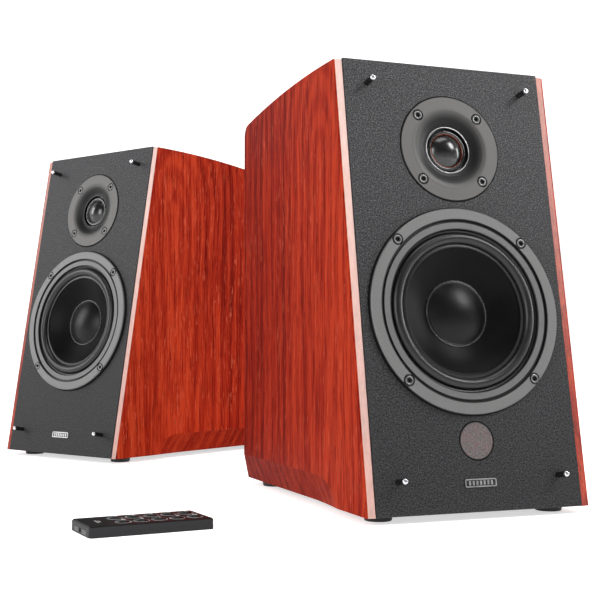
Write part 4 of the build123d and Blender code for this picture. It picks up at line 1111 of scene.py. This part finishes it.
@dataclass
class Woofer:
    """Cone woofer: the pieces that show in front of its basket, and its spider."""

    place: SpeakerFrame
    finishes: Finishes
    seat_radius: float = 57.35
    land_width: float = 1.9
    roll_thickness: float = 0.9
    rim_radius: float = 47.6
    rim_width: float = 2.8
    rim_level: float = -1.0
    thickness: float = 1.0
    cap_radius: float = 22.8
    cap_level: float = -12.0
    cap_rise: float = 6.2
    neck_radius: float = 13.0
    neck_level: float = -20.0
    coil_end: float = -49.0
    spider_level: float = -30.0
    spider_radius: float = 43.5

    def build(self) -> None:
        """Makes the surround, the cone, the cap, the glue bead and the spider."""
        self.surround()
        self.cone()
        self.cap()
        self.spider()

    @property
    def unit(self) -> str:
        """Prefix of the speaker's nodes and bodies."""
        return self.place.unit.value

    @property
    def seat(self) -> Matrix:
        """The woofer's own frame."""
        return self.place.on_baffle(self.place.woofer_up)

    @property
    def moving(self) -> Pieces:
        """Maker of pieces that move with the cone."""
        return Pieces(f"{self.unit}_woofer_diaphragm")

    def surround(self) -> None:
        """Half-roll from the basket's seat to the cone's rim, with a low bead at each edge."""
        outer, level = self.seat_radius, self.rim_level
        roll_out, roll_in = outer - self.land_width, self.rim_radius
        middle, radius = (roll_out + roll_in) / 2, (roll_out - roll_in) / 2
        thick = self.roll_thickness
        outline = [(outer, level), (outer, level + 1.3), (outer - 0.25, level + 1.55)]
        outline += [(outer - 0.8, level + 1.5), (roll_out + 0.15, level + 1.0)]
        outline += arc((middle, level + 0.2), radius, 8, 172, 28)
        rim_in = self.rim_radius - self.rim_width
        outline += [(roll_in - 0.2, level + 0.95), (rim_in + 0.35, level + 0.85), (rim_in, level + 0.35)]
        outline += [(rim_in, level + 0.02), (roll_in, level + 0.02)]
        outline += arc((middle, level + 0.02), radius - thick, 172, 8, 20)
        outline += [(roll_out + 0.3, level)]
        points, faces = lathe(outline, 160)
        name = f"{self.unit}_surround_roll"
        piece = self.soft(name, (points, faces), self.finishes["rubber"])
        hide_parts(f"{self.unit}_woofer_surround")
        self.bend(piece, roll_out, roll_in)

    def soft(self, name: str, shape: Shape, material: Material) -> bpy.types.Object:
        """A piece with no parent.

        Args:
            name: the piece's name.
            shape: its points and faces, in the woofer's frame.
            material: its finish.

        Returns:
            The new object.
        """
        points, faces = shape
        mesh = bpy.data.meshes.new(name)
        mesh.from_pydata([self.seat @ Vector(p) for p in points], [], faces)
        mesh.validate()
        mesh.materials.append(material)
        mesh.shade_smooth()
        mesh.set_sharp_from_angle(angle=math.radians(50))
        piece = bpy.data.objects.new(name, mesh)
        bpy.context.scene.collection.objects.link(piece)
        LOG.info("%s: %d faces", name, len(mesh.polygons))
        return piece

    def bend(self, piece: bpy.types.Object, outer: float, inner: float) -> None:
        """Bakes the piece's transform and works out a smooth share from its outer radius to its inner one, which
        nothing uses.

        Args:
            piece: the ring-shaped piece.
            outer: radius where the share is 0.
            inner: radius where the share reaches 1.
        """
        cabinet, cone = f"{self.unit}_cabinet", f"{self.unit}_woofer_diaphragm"
        start, end = self.seat @ Vector((0, 0, -60)), self.seat @ Vector((0, 0, 20))
        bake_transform(piece)
        back = self.seat.inverted()
        local = np.array([(back @ v.co)[:2] for v in piece.data.vertices])
        share = np.clip((outer - np.hypot(local[:, 0], local[:, 1])) / (outer - inner), 0, 1)
        share = share * share * (3 - 2 * share)

    def cone(self) -> None:
        """Gently flared cone with its rim, neck, former and winding."""
        level, rim_in, thick = self.rim_level, self.rim_radius - self.rim_width, self.thickness
        flare = []
        for k in range(17):
            t = k / 16
            radius = rim_in + (self.cap_radius + 1.2 - rim_in) * t
            depth = level + (self.cap_level + 0.3 - level) * t - 0.9 * math.sin(math.pi * t)
            flare.append((radius, depth))
        outline = [(self.rim_radius, level), (rim_in + 0.3, level), *flare]
        outline += [(self.cap_radius - 0.5, self.cap_level - 0.6), (self.neck_radius, self.neck_level)]
        outline += [(self.neck_radius, self.coil_end + 8), (self.neck_radius + 0.5, self.coil_end + 8)]
        outline += [(self.neck_radius + 0.5, self.coil_end), (self.neck_radius - 0.5, self.coil_end)]
        outline += [(self.neck_radius - 0.5, self.neck_level - thick)]
        outline += [(self.cap_radius, self.cap_level - thick - 1.0)]
        outline += [(r + 0.4, z - thick) for r, z in reversed(flare[:-1])]
        outline += [(self.rim_radius, level - thick)]
        material = self.finishes["cone"]
        name = f"{self.unit}_flared_cone"
        piece = self.moving.add(name, *lathe(outline, 160), self.seat, material, "black_cone")
        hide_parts(f"{self.unit}_woofer_cone")

    def cap(self) -> None:
        """Dust cap with a turned-out lip, and the bead of glue round it."""
        level, radius = self.cap_level, self.cap_radius
        ball = dome_profile(radius - 1.1, self.cap_rise, 24)
        outline = [(radius, level + 0.05), (radius, level + 0.5), (radius - 0.5, level + 0.62)]
        outline += [(r, level + z + 0.35) for r, z in ball]
        outline += [(r * 0.985, level + z - 0.35) for r, z in reversed(ball)]
        name, finish = f"{self.unit}_cap_dome", self.finishes["cap"]
        piece = self.moving.add(name, *lathe(outline, 128), self.seat, finish, "black_cap")
        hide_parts(f"{self.unit}_dust_cap")
        bead = lathe(arc((radius + 0.55, level + 0.15), 0.62, 0, 330, 11), 128)
        name = f"{self.unit}_cap_glue_bead"
        self.moving.add(name, *bead, self.seat, self.finishes["glue"], "black_cap")

    def spider(self) -> None:
        """Corrugated cloth disc behind the cone."""
        inner, outer, level = self.neck_radius + 0.3, self.spider_radius, self.spider_level
        top = []
        for k in range(49):
            t = k / 48
            radius = outer - (outer - inner) * t
            fade = min(1.0, 8 * t, 8 * (1 - t))
            top.append((radius, level + 0.8 + fade * (1 - math.cos(2 * math.pi * 4 * t))))
        outline = top + [(r, z - 0.8) for r, z in reversed(top)]
        name = f"{self.unit}_corrugated_spider"
        piece = self.soft(name, lathe(outline, 96), self.finishes["cloth"])
        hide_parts(f"{self.unit}_woofer_spider")
        self.bend(piece, outer - 2, inner + 2)


@dataclass
class Tweeter:
    """Dome tweeter: its dome and the two rings in its throat, bright as painted highlight on the active speaker
    and dark as painted shade on the passive one.
    """

    place: SpeakerFrame
    finishes: Finishes
    dome_radius: float = 12.5
    dome_rise: float = 5.3
    base: float = -5.6
    roll_width: float = 3.2
    dish_floor: float = -3.4
    throat_radius: float = 17.05

    def build(self) -> None:
        """Makes the dome with its half-roll, and the rings."""
        unit = self.place.unit.value
        moving = Pieces(f"{unit}_tweeter_diaphragm")
        place = self.place.on_baffle(self.place.tweeter_up)
        radius, base = self.dome_radius, self.base
        ball = dome_profile(radius, self.dome_rise, 20)
        half = self.roll_width / 2
        roll = arc((radius + half - 0.2, base), half, 0, 172, 16)
        outline = [*roll, *[(r, base + z) for r, z in ball[1:]]]
        outline += [(r * 0.97, base + z - 0.55) for r, z in reversed(ball[1:])]
        outline += [(radius - 0.3, base - 5.0), (radius, base - 5.0), (radius, base - 0.2)]
        outline += arc((radius + half - 0.2, base), half - 0.5, 170, 0, 12)
        name, finish = f"{unit}_silk_dome", self.finishes["silk"]
        silk = moving.add(name, *lathe(outline, 128), place, finish, "silk_dome")
        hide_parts(f"{unit}_tweeter_dome")
        rim = arc((radius + 0.15, base + 0.75), 0.30, 0, 330, 11)
        # Painted highlight: the active dome's rim ring glints copper; the passive's same ring is dark as painted
        # shade.
        trim = self.finishes["copper"] if self.place.unit is Unit.ACTIVE else self.finishes["glue"]
        moving.add(f"{unit}_dome_rim_ring", *lathe(rim, 128), place, trim, "silk_dome")
        still = Pieces(f"{unit}_cabinet")
        ring = arc((self.throat_radius, self.dish_floor + 0.2), 0.42, 0, 330, 11)
        # Painted highlight: the active throat ring is silver-bright; the passive's same ring is dark as painted
        # shade.
        bright = self.finishes["silver"] if self.place.unit is Unit.ACTIVE else self.finishes["glue"]
        still.add(f"{unit}_throat_ring", *lathe(ring, 128), place, bright, "bright_pegs")


# ---------------------------------------------------------------- cabinets


@dataclass
class Cabinet:
    """Cabinet of one speaker: carried-over nodes, badge, painted highlight rims on the screws, and gaps."""

    place: SpeakerFrame
    finishes: Finishes
    second_seed: float = 137.0
    badge_up: float = 19.6
    badge_width: float = 24.0
    badge_height: float = 5.6
    badge_bars: int = 7
    badge_pitch: float = 2.8
    woofer_proud: float = 3.3
    woofer_radius: float = 72.8
    woofer_screw_circle: float = 68.8
    tweeter_proud: float = 0.8
    tweeter_radius: float = 38.8
    tweeter_screw_circle: float = 33.3
    window_radius: float = 12.75
    screw_drop: float = 0.2

    def build(self) -> None:
        """Dresses the cabinet's nodes and adds its badge, the painted highlight rims on its screws and the gaps.
        """
        active = self.place.unit is Unit.ACTIVE
        # Side whose front lip gets the stronger painted highlight: the side that faces the lamps.
        pale = Side.LEFT if active else Side.RIGHT
        veneer = VeneerFinish(self.place, pale, seed=0.0 if active else self.second_seed).material()
        looks = {
            "side_left": veneer,
            "side_right": veneer,
            "carcass": self.finishes["board"],
            "front_baffle": BaffleFinish(self.place).material(),
            "woofer_basket": FrameFinish(self.place).material(),
            "driver_motors": self.finishes["steel"],
            "tweeter_faceplate": FaceplateFinish(self.place).material(),
            "port_tube": self.finishes["plastic"],
            "grille_pegs": PegFinish(self.place).material(),
            "feet": self.finishes["feet"],
            "screws": ScrewFinish(self.place).material(),
        }
        for part, material in looks.items():
            dress(f"{self.unit}_{part}", material)
        self.badge()
        self.screw_rim_highlights()
        self.gaps()

    @property
    def unit(self) -> str:
        """Prefix of the speaker's nodes and bodies."""
        return self.place.unit.value

    @property
    def still(self) -> Pieces:
        """Maker of pieces that stay with the cabinet."""
        return Pieces(f"{self.unit}_cabinet")

    def screw_rim_highlights(self) -> None:
        """Painted highlight: bright rings round the screws' sockets, standing for light caught by the heads' rims.
        """
        drivers = (
            ("woofer", self.place.woofer_up, self.woofer_screw_circle, self.woofer_proud),
            ("tweeter", self.place.tweeter_up, self.tweeter_screw_circle, self.tweeter_proud),
        )
        ring = [(2.0, -0.1), (2.9, -0.1), (2.9, 0.08), (2.7, 0.18), (2.2, 0.18), (2.0, 0.08)]
        for name, up, circle_radius, proud in drivers:
            offset, level = circle_radius / math.sqrt(2), proud - self.screw_drop
            rims = [moved(lathe(ring, 40), x * offset, y * offset, level) for x in (-1, 1) for y in (-1, 1)]
            shape, place = joined(rims), self.place.on_baffle(up)
            finish = self.finishes["screw_rim"]
            self.still.add(f"{self.unit}_{name}_screw_rims", *shape, place, finish, "dark_screws")

    def gaps(self) -> None:
        """Shadowed gaps where the flanges and the window meet the board."""
        edges = [
            ("woofer", self.place.woofer_up, self.woofer_radius),
            ("tweeter", self.place.tweeter_up, self.tweeter_radius),
        ]
        if self.place.unit is Unit.ACTIVE:
            edges.append(("window", self.place.window_up, self.window_radius))
        for name, up, radius in edges:
            near = radius + 0.02
            ring = lathe([(near, 0.0), (radius + 0.75, 0.0), (radius + 0.5, 0.1), (near, 0.14)], 144)
            place = self.place.on_baffle(up)
            self.still.add(f"{self.unit}_{name}_gap", *ring, place, self.finishes["gap"], "dark_baffle")

    def badge(self) -> None:
        """Plain oblong badge: a bright rim and bars on a dark field."""
        place = self.place.on_baffle(self.badge_up)
        width, height = self.badge_width, self.badge_height
        field = prism(rounded_rectangle(width, height, 1.2), 0.0, 0.45)
        self.still.add(f"{self.unit}_badge_field", *field, place, self.finishes["glue"], "grey_frame")
        line = rounded_rectangle(width - 0.8, height - 0.8, 0.9)
        rim = stroke(line, 0.8, 0.3, 0.8, closed=True)
        bar = prism(rounded_rectangle(1.5, height - 2.6, 0.4), 0.4, 0.75)
        first = -self.badge_pitch * (self.badge_bars - 1) / 2
        bars = [moved(bar, x=first + self.badge_pitch * k) for k in range(self.badge_bars)]
        shape = joined([rim, *bars])
        self.still.add(f"{self.unit}_badge_rim", *shape, place, self.finishes["silver"], "bright_pegs")


@dataclass
class RearPanel:
    """Amplifier plate of the active speaker, with its prints and inserts."""

    place: SpeakerFrame
    finishes: Finishes
    plate_face: float = 2.5
    print_height: float = 0.06
    knob_up: float = 188.0
    knob_spacing: float = 40.0
    knob_gap: float = 0.6
    knob_length: float = 13.0
    volume_radius: float = 10.5
    tone_radius: float = 8.5
    phono_across: tuple[float, float] = (-42.0, -28.0)
    phono_up: tuple[float, float] = (148.0, 130.0)
    phono_length: float = 11.0
    switch_place: tuple[float, float] = (-30.0, 52.0)
    switch_mark_rise: float = 17.5

    def build(self) -> None:
        """Dresses the rear nodes and adds the prints, pointers and coloured inserts."""
        dress("active_receiver_window", WindowFinish(self.place).material())
        looks = {
            "amp_plate": "plate",
            "amp_board": "green",
            "transformer": "tape",
            "volume_knob": "knob",
            "treble_knob": "knob",
            "bass_knob": "knob",
            "power_rocker": "switch",
            "mains_inlet": "plastic",
            "phono_sockets": "nickel",
            "link_socket": "plastic",
        }
        for part, key in looks.items():
            dress(f"active_{part}", self.finishes[key])
        self.dials()
        self.pointers()
        self.inserts()
        self.outlines()

    @property
    def still(self) -> Pieces:
        """Maker of pieces that stay with the cabinet."""
        return Pieces("active_cabinet")

    @property
    def knobs(self) -> tuple[tuple[str, float, float], ...]:
        """Each control's name, place across the plate and radius."""
        step = self.knob_spacing
        volume = ("volume", step, self.volume_radius)
        return (volume, ("treble", 0.0, self.tone_radius), ("bass", -step, self.tone_radius))

    def dials(self) -> None:
        """Ticks round the three knobs, longer at the ends and the middle."""
        for name, x, radius in self.knobs:
            ticks = []
            for k in range(11):
                turn = math.radians(-60 + 30 * k)
                near = radius + 2.0
                far = near + (2.6 if k in (0, 5, 10) else 1.6)
                path = [(r * math.cos(turn), r * math.sin(turn)) for r in (near, far)]
                ticks.append(stroke(path, 0.5, 0.0, self.print_height))
            place = self.place.on_rear(x, self.knob_up, self.plate_face)
            finish = self.finishes["print_white"]
            self.still.add(f"{name}_dial_ticks", *joined(ticks), place, finish, "plate_paint")

    def pointers(self) -> None:
        """White fill in each knob's pointer groove, turning with the knob."""
        front = self.plate_face + self.knob_gap + self.knob_length - 1.1
        for name, x, radius in self.knobs:
            place = self.place.on_rear(x, self.knob_up, front)
            bar = moved(prism(rounded_rectangle(1.0, radius * 0.6, 0.4), 0.0, 0.75), y=radius * 0.6)
            finish = self.finishes["print_white"]
            Pieces(f"{name}_control").add(f"{name}_pointer_fill", *bar, place, finish, "knob_plastic")

    def inserts(self) -> None:
        """White and red insulating rings at the mouths and the feet of the phono barrels."""
        ring = lathe([(1.75, -0.6), (3.2, -0.6), (3.2, 0.18), (3.0, 0.3), (2.0, 0.3), (1.75, 0.1)], 48)
        collar = lathe([(6.3, 0.0), (7.6, 0.0), (7.6, 0.5), (7.3, 0.7), (6.6, 0.7), (6.3, 0.5)], 64)
        places = [(x, up) for up in self.phono_up for x in self.phono_across]
        for index, (x, up) in enumerate(places):
            colour = self.finishes["red" if index % 2 else "white"]
            for name, shape, behind in (("insert", ring, self.phono_length), ("collar", collar, 0.0)):
                place = self.place.on_rear(x, up, self.plate_face + behind)
                self.still.add(f"phono_{name}_{index + 1}", *shape, place, colour, "plated_sockets")

    def outlines(self) -> None:
        """Printed frames round the groups of sockets and the switch's state marks."""
        groups = (
            ("line_inputs", -35.0, 139.0, 34.0, 44.0),
            ("link_socket", 36.0, 141.0, 30.0, 34.0),
            ("mains", 27.0, 52.0, 38.0, 28.0),
        )
        tall, grey = self.print_height, self.finishes["print_grey"]
        for name, x, up, width, height in groups:
            place = self.place.on_rear(x, up, self.plate_face)
            line = stroke(rounded_rectangle(width, height, 3.0), 0.45, 0.0, tall, closed=True)
            self.still.add(f"{name}_printed_frame", *line, place, grey, "plate_paint")
        place = self.place.on_rear(*self.switch_place, self.plate_face)
        on_mark = moved(stroke([(0, -1.6), (0, 1.6)], 0.5, 0.0, tall), y=self.switch_mark_rise)
        ring = stroke(circle(1.5, 24), 0.45, 0.0, tall, closed=True)
        marks = joined([on_mark, moved(ring, y=-self.switch_mark_rise)])
        self.still.add("switch_state_marks", *marks, place, self.finishes["print_white"], "plate_paint")


@dataclass
class TerminalPlate:
    """Small rear plate of the passive speaker."""

    place: SpeakerFrame
    finishes: Finishes
    up: float = 96.0
    plate_face: float = 2.5

    def build(self) -> None:
        """Dresses the plate and prints a ring round its socket and an arrow above it."""
        dress("passive_terminal_plate", self.finishes["plate"])
        dress("passive_link_socket", self.finishes["plastic"])
        place = self.place.on_rear(0.0, self.up, self.plate_face)
        ring = stroke(circle(15.0, 72), 0.5, 0.0, 0.06, closed=True)
        arrow = stroke([(-2.4, 21.0), (0.0, 18.2), (2.4, 21.0)], 0.6, 0.0, 0.06)
        shape, finish = joined([ring, arrow]), self.finishes["print_grey"]
        Pieces("passive_cabinet").add("terminal_print", *shape, place, finish, "plate_paint")


# ---------------------------------------------------------------- remote


class Icon(Enum):
    """Generic signs on the remote's keys; the value is the key's number."""

    MUTE = 1
    NEXT = 2
    MINUS = 3
    BACK = 4
    POWER = 5
    SOURCE = 6
    SOUND = 7
    WAVE = 8
    PLUS = 9
    LIST = 10


@dataclass
class Remote:
    """Card remote: case, keys with signs, tray and cell."""

    finishes: Finishes
    length: float = 82.0
    height: float = 7.0
    first_key: float = 25.2
    pitch: float = 12.0
    rows: tuple[float, float] = (-8.3, 7.9)
    key_radius: float = 4.5
    dome: float = 1.5
    key_top: float = 8.6
    line: float = 0.42

    def build(self) -> None:
        """Dresses the remote's nodes and adds the rings and the signs."""
        place = self.read_place()
        dress("remote_shell", self.shell_material(place))
        dress("remote_board", self.finishes["green"])
        dress("remote_battery_tray", self.finishes["case_edge"])
        dress("remote_coin_cell", self.finishes["cell"])
        case = Pieces("remote")
        rings = []
        for index in range(10):
            x, y = self.key_place(index)
            dress(f"remote_button_{index + 1:02d}", self.finishes["button"])
            ring = [(4.95, 0.0), (5.2, 0.0), (5.16, 0.1), (4.99, 0.1)]
            rings.append(moved(lathe(ring, 64), x, y, self.height))
        grey = self.finishes["print_grey"]
        case.add("remote_key_rings", *joined(rings), place, grey, "remote_gloss")
        for icon in Icon:
            self.sign(icon, place)
        wide = moved(stroke([(0, -4.5), (0, 4.5)], 0.9, 0.0, 0.06), x=-30.4)
        narrow = moved(stroke([(0, -2.8), (0, 2.8)], 0.45, 0.0, 0.06), x=-28.6)
        mark = moved(joined([wide, narrow]), z=self.height)
        case.add("remote_plain_mark", *mark, place, grey, "remote_gloss")

    def read_place(self) -> Matrix:
        """The remote's axes: x along it from the battery end, z up."""
        mounts = {m["name"]: m for m in frame["record"]["mounts"]}
        origin = Vector(mounts["remote_back"]["pos_m"])
        pull = next(j for j in frame["joints"] if j["name"] == "remote_tray_pull")
        along = -Vector(pull["axis"])
        return axes_matrix(origin, along, Vector((0, 0, 1)).cross(along), Vector((0, 0, 1)))

    def key_place(self, index: int) -> tuple[float, float]:
        """Centre of a key, near row first."""
        x = self.first_key + self.pitch * (index % 5) - self.length / 2
        return x, self.rows[index // 5]

    def shell_material(self, place: Matrix) -> Material:
        """Gloss top and paler satin sides on the case.

        Args:
            place: the remote's axes.

        Returns:
            The material.
        """
        sheet = Sheet("remote_case")
        space = sheet.placed(place)
        level = sheet.parts(space)[2]
        fine = sheet.noise(space, 1.3, 3.0, 0.6)
        side = sheet.remap(level, self.height - 0.25, self.height - 0.75)
        edge = sheet.mix(fine, (0.020, 0.020, 0.021), (0.040, 0.040, 0.042))
        top = sheet.mix(fine, (0.0035, 0.0035, 0.0037), (0.0060, 0.0060, 0.0063))
        sheet.feed(
            Base_Color=sheet.mix(side, top, edge),
            Roughness=sheet.remap(level, self.height - 0.75, self.height - 0.25, 0.42, 0.34),
            Specular_IOR_Level=0.04,
        )
        sheet.bump(sheet.times(fine, side), 0.5, 0.00004)
        return sheet.material

    def strokes(self, icon: Icon) -> list[tuple[list, bool]]:
        """Middle lines of a sign, each with whether it closes.

        Args:
            icon: the sign.

        Returns:
            Paths in millimetres about the key's middle.
        """
        arrow = [(-0.9, -1.0), (-0.9, 1.0), (0.8, 0.0)]
        signs = {
            Icon.MUTE: [([(-1.4, -0.6), (-0.6, -0.6), (0.4, -1.4), (0.4, 1.4), (-0.6, 0.6), (-1.4, 0.6)], True),
                        ([(0.9, -1.3), (1.6, 1.3)], False)],
            Icon.NEXT: [(arrow, True), ([(1.3, -1.1), (1.3, 1.1)], False)],
            Icon.MINUS: [([(-1.4, 0), (1.4, 0)], False)],
            Icon.BACK: [([(-x, y) for x, y in arrow], True), ([(-1.3, -1.1), (-1.3, 1.1)], False)],
            Icon.POWER: [(circle(1.5, 20, 120, 420), False), ([(0, 0.5), (0, 2.0)], False)],
            Icon.SOURCE: [([(-1.4, 0), (1.0, 0)], False), ([(0.2, 0.9), (1.2, 0), (0.2, -0.9)], False)],
            Icon.SOUND: [(circle(0.5, 12), True), (circle(1.5, 14, -60, 60), False)],
            Icon.WAVE: [([(-1.6 + 0.2 * k, 0.9 * math.sin(0.4 * math.pi * k * 0.5)) for k in range(17)], False)],
            Icon.PLUS: [([(-1.4, 0), (1.4, 0)], False), ([(0, -1.4), (0, 1.4)], False)],
            Icon.LIST: [([(-1.3, y), (1.3, y)], False) for y in (-0.9, 0.0, 0.9)],
        }
        return signs[icon]

    def sign(self, icon: Icon, place: Matrix) -> None:
        """Prints a sign on its key's dome, turned to read with the battery end down.

        Args:
            icon: the sign.
            place: the remote's axes.
        """
        x, y = self.key_place(icon.value - 1)
        parts = []
        for path, closed in self.strokes(icon):
            fine = self.divided(path, closed)
            turned = [(py, -px) for px, py in fine]
            parts.append(stroke(turned, self.line, -0.06, 0.05, closed))
        points, faces = joined(parts)
        ball = (self.key_radius**2 + self.dome**2) / (2 * self.dome)
        shaped = []
        for px, py, pz in points:
            drop = ball - math.sqrt(ball**2 - px**2 - py**2)
            shaped.append((x + px, y + py, self.key_top - drop + pz))
        body = f"remote_key_{icon.value:02d}"
        name = f"key_sign_{icon.name.lower()}"
        Pieces(body).add(name, shaped, faces, place, self.finishes["print_white"], "button_gloss")

    @staticmethod
    def divided(path: list, closed: bool, step: float = 0.45) -> list:
        """A path with points added, so that it can follow a dome.

        Args:
            path: its corners.
            closed: whether the last corner joins the first.
            step: longest chord, in millimetres.

        Returns:
            The points.
        """
        corners = path + [path[0]] if closed else path
        fine = [corners[0]]
        for a, b in zip(corners, corners[1:]):
            count = max(1, math.ceil(math.dist(a, b) / step))
            for k in range(1, count + 1):
                share = k / count
                fine.append((a[0] + (b[0] - a[0]) * share, a[1] + (b[1] - a[1]) * share))
        return fine[:-1] if closed else fine


# ---------------------------------------------------------------- studio


@dataclass
class Studio:
    """Pale floor, soft lights and the camera."""

    camera_place: tuple[float, float, float] = (-0.3108, -1.0391, 0.1198)
    camera_pitch: float = 2.0
    camera_heading: float = -21.3
    lens: float = 70.15
    haze_band: tuple[float, float] = (0.06, 0.26)
    haze_strength: tuple[float, float] = (0.85, 0.14)
    floor_near: float = 6.0
    floor_back: float = 3.0
    floor_bend: float = 1.5
    floor_top: float = 7.0
    floor_half_width: float = 9.0
    light_target: tuple[float, float, float] = (0.0, -0.1, 0.17)

    def build(self) -> None:
        """Sets up the floor, the lights and the camera."""
        self.floor()
        self.world()
        self.lights()
        self.camera()

    def floor(self) -> None:
        """A wide floor that sweeps up behind the set."""
        points, faces = [], []
        near, back, bend = -self.floor_near, self.floor_back, self.floor_bend
        turns = np.linspace(0.1, math.pi / 2, 12)
        profile = [(near, 0.0), (back, 0.0)]
        profile += [(back + bend * math.sin(a), bend - bend * math.cos(a)) for a in turns]
        profile += [(back + bend, self.floor_top)]
        for y, z in profile:
            points += [(-self.floor_half_width, y, z), (self.floor_half_width, y, z)]
        for k in range(len(profile) - 1):
            faces.append([2 * k, 2 * k + 1, 2 * k + 3, 2 * k + 2])
        mesh = bpy.data.meshes.new("studio_sweep")
        mesh.from_pydata(points, [], faces)
        mesh.shade_smooth()
        sheet = Sheet("pale_floor")
        fine = sheet.noise(sheet.object_space, 6.0, 2.0)
        colour = sheet.mix(fine, (0.86, 0.86, 0.86), (0.89, 0.89, 0.89))
        sheet.feed(Base_Color=colour, Roughness=0.8, Emission_Color=(1, 1, 1, 1), Emission_Strength=0.6)
        mesh.materials.append(sheet.material)
        sweep = bpy.data.objects.new("studio_sweep", mesh)
        bpy.context.scene.collection.objects.link(sweep)

    def world(self) -> None:
        """Pale surroundings near the horizon that darken overhead."""
        world = bpy.data.worlds.new("studio")
        bpy.context.scene.world = world
        world.use_nodes = True
        nodes, links = world.node_tree.nodes, world.node_tree.links
        background = nodes["Background"]
        background.inputs[0].default_value = (1.0, 1.0, 1.0, 1)
        direction = nodes.new("ShaderNodeTexCoord")
        parts = nodes.new("ShaderNodeSeparateXYZ")
        fade = nodes.new("ShaderNodeMapRange")
        fade.inputs[1].default_value, fade.inputs[2].default_value = self.haze_band
        fade.inputs[3].default_value, fade.inputs[4].default_value = self.haze_strength
        links.new(direction.outputs["Generated"], parts.inputs[0])
        links.new(parts.outputs[2], fade.inputs[0])
        links.new(fade.outputs[0], background.inputs[1])

    def lights(self) -> None:
        """Large soft boxes: left front, right front above, right side, left behind and overhead."""
        target = Vector(self.light_target)
        boxes = (
            ("left_front_box", (-1.9, -1.4, 0.9), (0.8, 1.3), 24.0),
            ("right_front_box", (1.3, -1.3, 1.5), (0.6, 0.8), 26.0),
            ("right_side_box", (2.3, -0.5, 0.7), (0.7, 1.1), 26.0),
            ("left_rear_box", (-2.0, 1.0, 0.95), (0.7, 1.2), 18.0),
            ("overhead_box", (0.1, -0.3, 2.3), (1.4, 1.4), 22.0),
        )
        for name, where, size, power in boxes:
            data = bpy.data.lights.new(name, "AREA")
            data.shape = "RECTANGLE"
            data.size, data.size_y = size
            data.energy = power
            item = bpy.data.objects.new(name, data)
            item.location = where
            item.rotation_euler = (target - Vector(where)).to_track_quat("-Z", "Y").to_euler()
            bpy.context.scene.collection.objects.link(item)

    def camera(self) -> None:
        """Camera low in front of the set, turned a little to the right."""
        data = bpy.data.cameras.new("camera")
        data.lens = self.lens
        data.sensor_width = 36.0
        data.clip_end = 50.0
        item = bpy.data.objects.new("camera", data)
        item.location = self.camera_place
        item.rotation_euler = (math.radians(90 + self.camera_pitch), 0, math.radians(self.camera_heading))
        bpy.context.scene.collection.objects.link(item)
        bpy.context.scene.camera = item


def main() -> None:
    """Builds the set in order and reports each piece."""
    logging.basicConfig(level=logging.INFO, format="%(message)s")
    finishes = Finishes.build()
    for unit in Unit:
        place = SpeakerFrame.read(unit)
        Cabinet(place, finishes).build()
        Woofer(place, finishes).build()
        Tweeter(place, finishes).build()
        if unit is Unit.ACTIVE:
            RearPanel(place, finishes).build()
        else:
            TerminalPlate(place, finishes).build()
    Remote(finishes).build()
    Studio().build()
    bpy.context.scene.view_settings.view_transform = "Standard"


if __name__ == "__main__":
    main()
